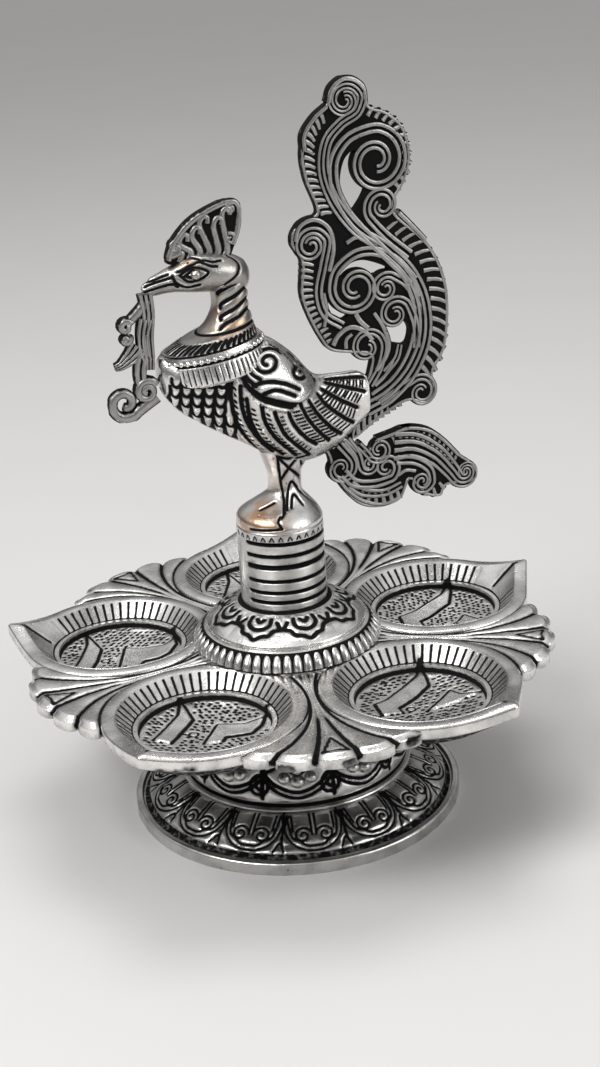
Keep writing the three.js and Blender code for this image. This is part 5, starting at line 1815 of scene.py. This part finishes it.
LOWER = Plume(
    "Lower_plume", "lower_plume",
    outline=(
        (11.6, 15.4), (14.6, 17.6), (17.6, 15.6), (19.4, 13.2), (22, 13), (24, 15), (27.6, 15.8),
        (31.5, 16.8), (36.4, 15.6), (40.4, 12.6), (44.2, 8), (47.2, 5.4), (48.6, 2.4), (46.6, 0.6),
        (42.4, 1), (40.2, 0.6),
        (39.2, -1.4), (36, -0.8), (33.6, 1.4), (31.6, 4), (30.6, 2.2), (29, -0.4), (24.6, -1.4), (19.6, -0.2),
        (15.8, 3.6), (13, 8.6), (12.4, 12.2)),
    holes=(),
    scrolls=(
        (((19.4, 14.4), (21.5, 11.8)), (24.3, 12.4), 1.2, (2.2, 1.7), 2),
        (((14.8, 15.4), (17.3, 12)), (14.9, 9.6), -1.25, (2.4, 1.7), 2),
        (((16.6, 16.2), (19, 12.3), (19.7, 9.3)), (21.8, 9.4), 1.2, (2.5, 1.7), 2),
        (((15.5, 8.3), (18, 5.6), (22.5, 4.6), (26.8, 5.1)), (25.8, 7.9), 1.1, (3.3, 2.0), 2),
        (((28.5, 9.3), (33, 8.3), (36.3, 5.8), (37, 3.1)), (34.5, 3), -1.2, (3.0, 1.8), 2),
        (((28, 12.6), (33, 12), (38, 8.9), (41.5, 4.9), (43.4, 2.2)), (45.4, 3.4), 1.0, (7.6, 2.5), 4)),
    leaves=(
        (((17, 5.4), (20, 3), (25, 2), (29.4, 3.2)), (3.0, 2.3), 2),
        (((13, 14.8), (15, 16.6), (17.6, 14.8), (19.4, 12.8), (21.6, 12.8)), (1.8, 1.4), 1),
        (((28.6, 5.6), (30.6, 6.4), (33, 5.8)), (1.5, 1.3), 1),
        (((24, 14.8), (28, 15.6), (31.5, 16.3), (36.2, 15.1), (40, 12.2), (43.8, 7.8)), (1.4, 1.3), 1),
        (((14, 7.6), (16.4, 4), (20, 0.9), (24.6, -0.7), (28.8, 0.2)), (1.4, 1.3), 1)),
    borders=(
        (((28.4, 14), (32, 14.4), (36, 13.2), (39.6, 10.6), (43, 6.8)), 2.5, -0.6, 13, (0.9, 0.9)),
        (((16, 6.2), (19, 2.8), (23.6, 0.9), (28.6, 1.2)), 2.8, -0.5, 9, (0.9, 1.0)),
        (((35.4, 0.4), (37.6, -0.2), (39.4, 1)), 2.4, 0, 3, (0.9, 0.9))))


@dataclass
class Perch:
    """Hood on the post that narrows into the bird's legs.

    Attributes:
        rings: height above the post's top, middle and both half axes of its level sections.
    """

    rings: Points = (
        (0, 0, 9.7, 9.7), (.9, 0, 9.75, 9.6), (2.6, -.2, 9, 8.4), (4.6, .6, 6.6, 6), (6.4, 1.5, 4.3, 4.4),
        (8, 1.8, 3.8, 3.6), (11, 1.9, 3.9, 3.4), (13.4, 2.2, 4.9, 3.8), (16.6, 2.2, 5.8, 4.2))
    groove: Two = (0.6, 0.4)

    def build(self, bench: Bench, finish: Material) -> Object:
        """Perch with its edge lines, facet and crossed ribs."""
        rows = smooth(self.rings, 0.3)
        shell = lofted(rows, lambda s: (np.array([s[1], 0, POST_TOP + s[0]]), np.array([s[2], 0, 0]),
                                        np.array([0, s[3], 0])), 180)
        obj = shell.as_object("perch")
        level = np.array(self.rings, float)
        side = Stalk(level + (POST_TOP, 0, 0, 0))
        lines = [
            [(-8.5, 69.6), (-4, 69.9), (-0.4, 70.2)], [(1, 70.4), (1.3, 74), (0.9, 77.6)],
            [(-5.5, 73.2), (-2.3, 74.5)], [(-2, 72), (-0.8, 72.8)],
            [(2, 70.8), (2.4, 74), (3.6, 77), (5.6, 74.4), (8.8, 71)], [(3.2, 71), (3.9, 74), (6, 71.2)],
            [(1.2, 78), (3.2, 80.2), (5.6, 82.6)], [(1.2, 82.6), (3.2, 80.2), (5.6, 78)],
            [(0.9, 77.6), (0.6, 83.8)], [(6, 77.2), (6.2, 83.6)], [(0.6, 83.4), (3.2, 82.4), (6, 83.4)],
        ]
        bench.tools.engrave(obj, side.lines(lines), *self.groove, finish)
        return bench.deliver(obj, "Perch", ["perch"], finish)


# Fastening, studio and the lamp as a whole


@dataclass
class Fastening:
    """Stud, washer and nut inside the foot: their solids stay and get turned metal."""

    def dress(self, bench: Bench) -> None:
        """Gives the solids their finishes."""
        steel = Turned("Steel_stud", (0.5, 0.51, 0.53)).build(bench.groups)
        brass = Turned("Brass_nut", (0.62, 0.46, 0.22)).build(bench.groups)
        for node, finish in (("tie_stud", steel), ("washer", brass), ("nut", brass)):
            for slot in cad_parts[node].material_slots:
                slot.material = finish


@dataclass
class Studio:
    """Pale floor, soft lights and the camera at the photograph's angle.

    Attributes:
        position: place of the camera, in millimetres about the post's axis.
        target: what it looks at.
        lens: focal length.
        sensor: height of the sensor.
        roll: turn of the picture in degrees.
        pale: colour of the floor.
        low_sky: colour of the light from below and the sides.
        high_sky: colour of the light from above.
        lights: name, place, size and power of each light, in metres and watts.
    """

    position: Three = (-113.3, -349.9, 209.2)
    target: Three = (1.9, -8.1, 67.8)
    lens: float = 59.16
    sensor: float = 36.0
    roll: float = 3.73
    pale: Three = (0.56, 0.55, 0.54)
    low_sky: Three = (0.13, 0.13, 0.135)
    high_sky: Three = (1.0, 1.0, 1.0)
    lights: Sequence[tuple] = (
        ("Key", (-0.55, -0.25, 0.75), 0.4, 6.6), ("Fill", (0.55, -0.6, 0.4), 0.5, 2.6),
        ("Top", (0.05, 0.15, 0.9), 0.4, 2.6))

    def build(self) -> None:
        """Camera, floor, world and lights."""
        self._camera()
        self._floor()
        self._world()
        for light in self.lights:
            self._light(*light)

    def _camera(self) -> None:
        """Camera that looks from the photograph's place."""
        data = bpy.data.cameras.new("Camera")
        data.lens, data.sensor_height, data.sensor_fit = self.lens, self.sensor, "VERTICAL"
        data.clip_start, data.clip_end = 0.01, 60
        camera = placed("Camera", data)
        place = Vector(np.array(self.position) * MM + post_axis())
        aim = Vector(np.array(self.target) * MM + post_axis()) - place
        turn = aim.to_track_quat("-Z", "Y").to_matrix().to_4x4()
        roll = Matrix.Rotation(math.radians(-self.roll), 4, "Z")
        camera.matrix_world = Matrix.Translation(place) @ turn @ roll
        bpy.context.scene.camera = camera

    def _floor(self) -> None:
        """Floor that the lamp stands on."""
        bpy.ops.mesh.primitive_plane_add(size=40)
        floor = bpy.context.object
        floor.name = "Floor"
        material, tree, shader = new_material("Pale_floor")
        colour = blend(tree, noise(tree, 14.0, 3.0), shaded(self.pale), shaded(self.pale, 0.95))
        tree.links.new(colour, shader.inputs["Base Color"])
        shader.inputs["Roughness"].default_value = 0.75
        floor.data.materials.append(material)

    def _world(self) -> None:
        """Even light from all round, brighter from above."""
        world = bpy.data.worlds.new("Studio")
        bpy.context.scene.world = world
        world.use_nodes = True
        tree = world.node_tree
        tree.nodes.clear()
        up = put(tree, "ShaderNodeSeparateXYZ", {
            0: put(tree, "ShaderNodeTexCoord").outputs["Generated"]}).outputs["Z"]
        sky = blend(tree, smooth_range(tree, up, 0.1, 0.8), shaded(self.low_sky), shaded(self.high_sky))
        lit = put(tree, "ShaderNodeBackground", {"Color": sky, "Strength": 0.7})
        put(tree, "ShaderNodeOutputWorld", {0: lit.outputs[0]})

    @staticmethod
    def _light(name: str, place: Three, size: float, power: float) -> None:
        """Square soft light that faces the lamp."""
        data = bpy.data.lights.new(name, "AREA")
        data.size, data.energy = size, power
        light = placed(name, data)
        light.location = place
        light.rotation_euler = (Vector((0, 0, 0.07)) - Vector(place)).to_track_quat("-Z", "Y").to_euler()


def chips(streaks: Sequence[tuple]) -> tuple[Stain, ...]:
    """Black stains in a row along each streak, which is given as its ends and half width."""
    return tuple(Stain(tuple(np.add(np.multiply(a, 1 - t), np.multiply(b, t))), radius, SOOT, 2.5)
                 for a, b, radius in streaks for t in (0, 0.25, 0.5, 0.75, 1))


FINISHES = (
    Silver("Bright_silver", bright=(0.66, 0.65, 0.63)),
    Silver("Plate_silver", bright=(0.86, 0.845, 0.82), roughness=0.27, pits=0.5, stains=chips((
        ((-44, -47, 38.2), (-38, -49.5, 38.2), 2.0), ((-27, -54, 39), (-20, -57, 38.2), 1.8),
        ((-9, -60.5, 38.5), (-7, -60.5, 38.5), 1.6), ((6, -59, 39.4), (13, -59.6, 40.4), 2.2),
        ((16, -60.4, 39.2), (26, -61.6, 39.4), 1.5), ((-62, 4, 38.5), (-60, 10, 38.5), 2.0)))),
    # Darker copy of the silver for the crest, vine and plumes: its dim rubbed metal is painted shade on their
    # upright faces
    Silver("Dark_silver", bright=(0.4, 0.39, 0.375), roughness=0.27, wear=-0.1),
    Silver("Head_silver", bright=(0.46, 0.445, 0.42), roughness=0.33, pits=1.0, stains=(
        Stain((-9, -4, 116), 8, strength=0.8), Stain((-18, -4, 131), 5, strength=0.7))),
    Silver("Perch_silver", stains=(
        Stain((-7, -6, 72), 10, strength=1.0), Stain((-3, -5, 80), 6, strength=1.0))),
)


def main() -> None:
    """Builds the studio and the lamp, piece by piece."""
    logging.basicConfig(level=logging.INFO, format="%(name)s: %(message)s")
    bpy.context.scene.view_settings.view_transform = "Standard"
    Studio().build()
    bench = Bench()
    finishes = {finish.name: finish.build(bench.groups) for finish in FINISHES}
    bright, plate_finish, dark, head, perch = (finishes[f"{name}_silver"] for name in (
        "Bright", "Plate", "Dark", "Head", "Perch"))
    for maker, finish in (
        (Foot(), bright), (Drum(), bright), (LampPlate(), plate_finish), (GadroonRing(), plate_finish),
        (LotusDome(), plate_finish), (RingedPost(), bright), (Perch(), perch), (Body(), plate_finish),
        (NeckAndHead(), head), (Crest(), dark), (Vine(), dark), (TAIL, dark), (LOWER, dark),
    ):
        maker.build(bench, finish)
        LOG.info("built %s", type(maker).__name__)
    Fastening().dress(bench)


if __name__ == "__main__":
    main()
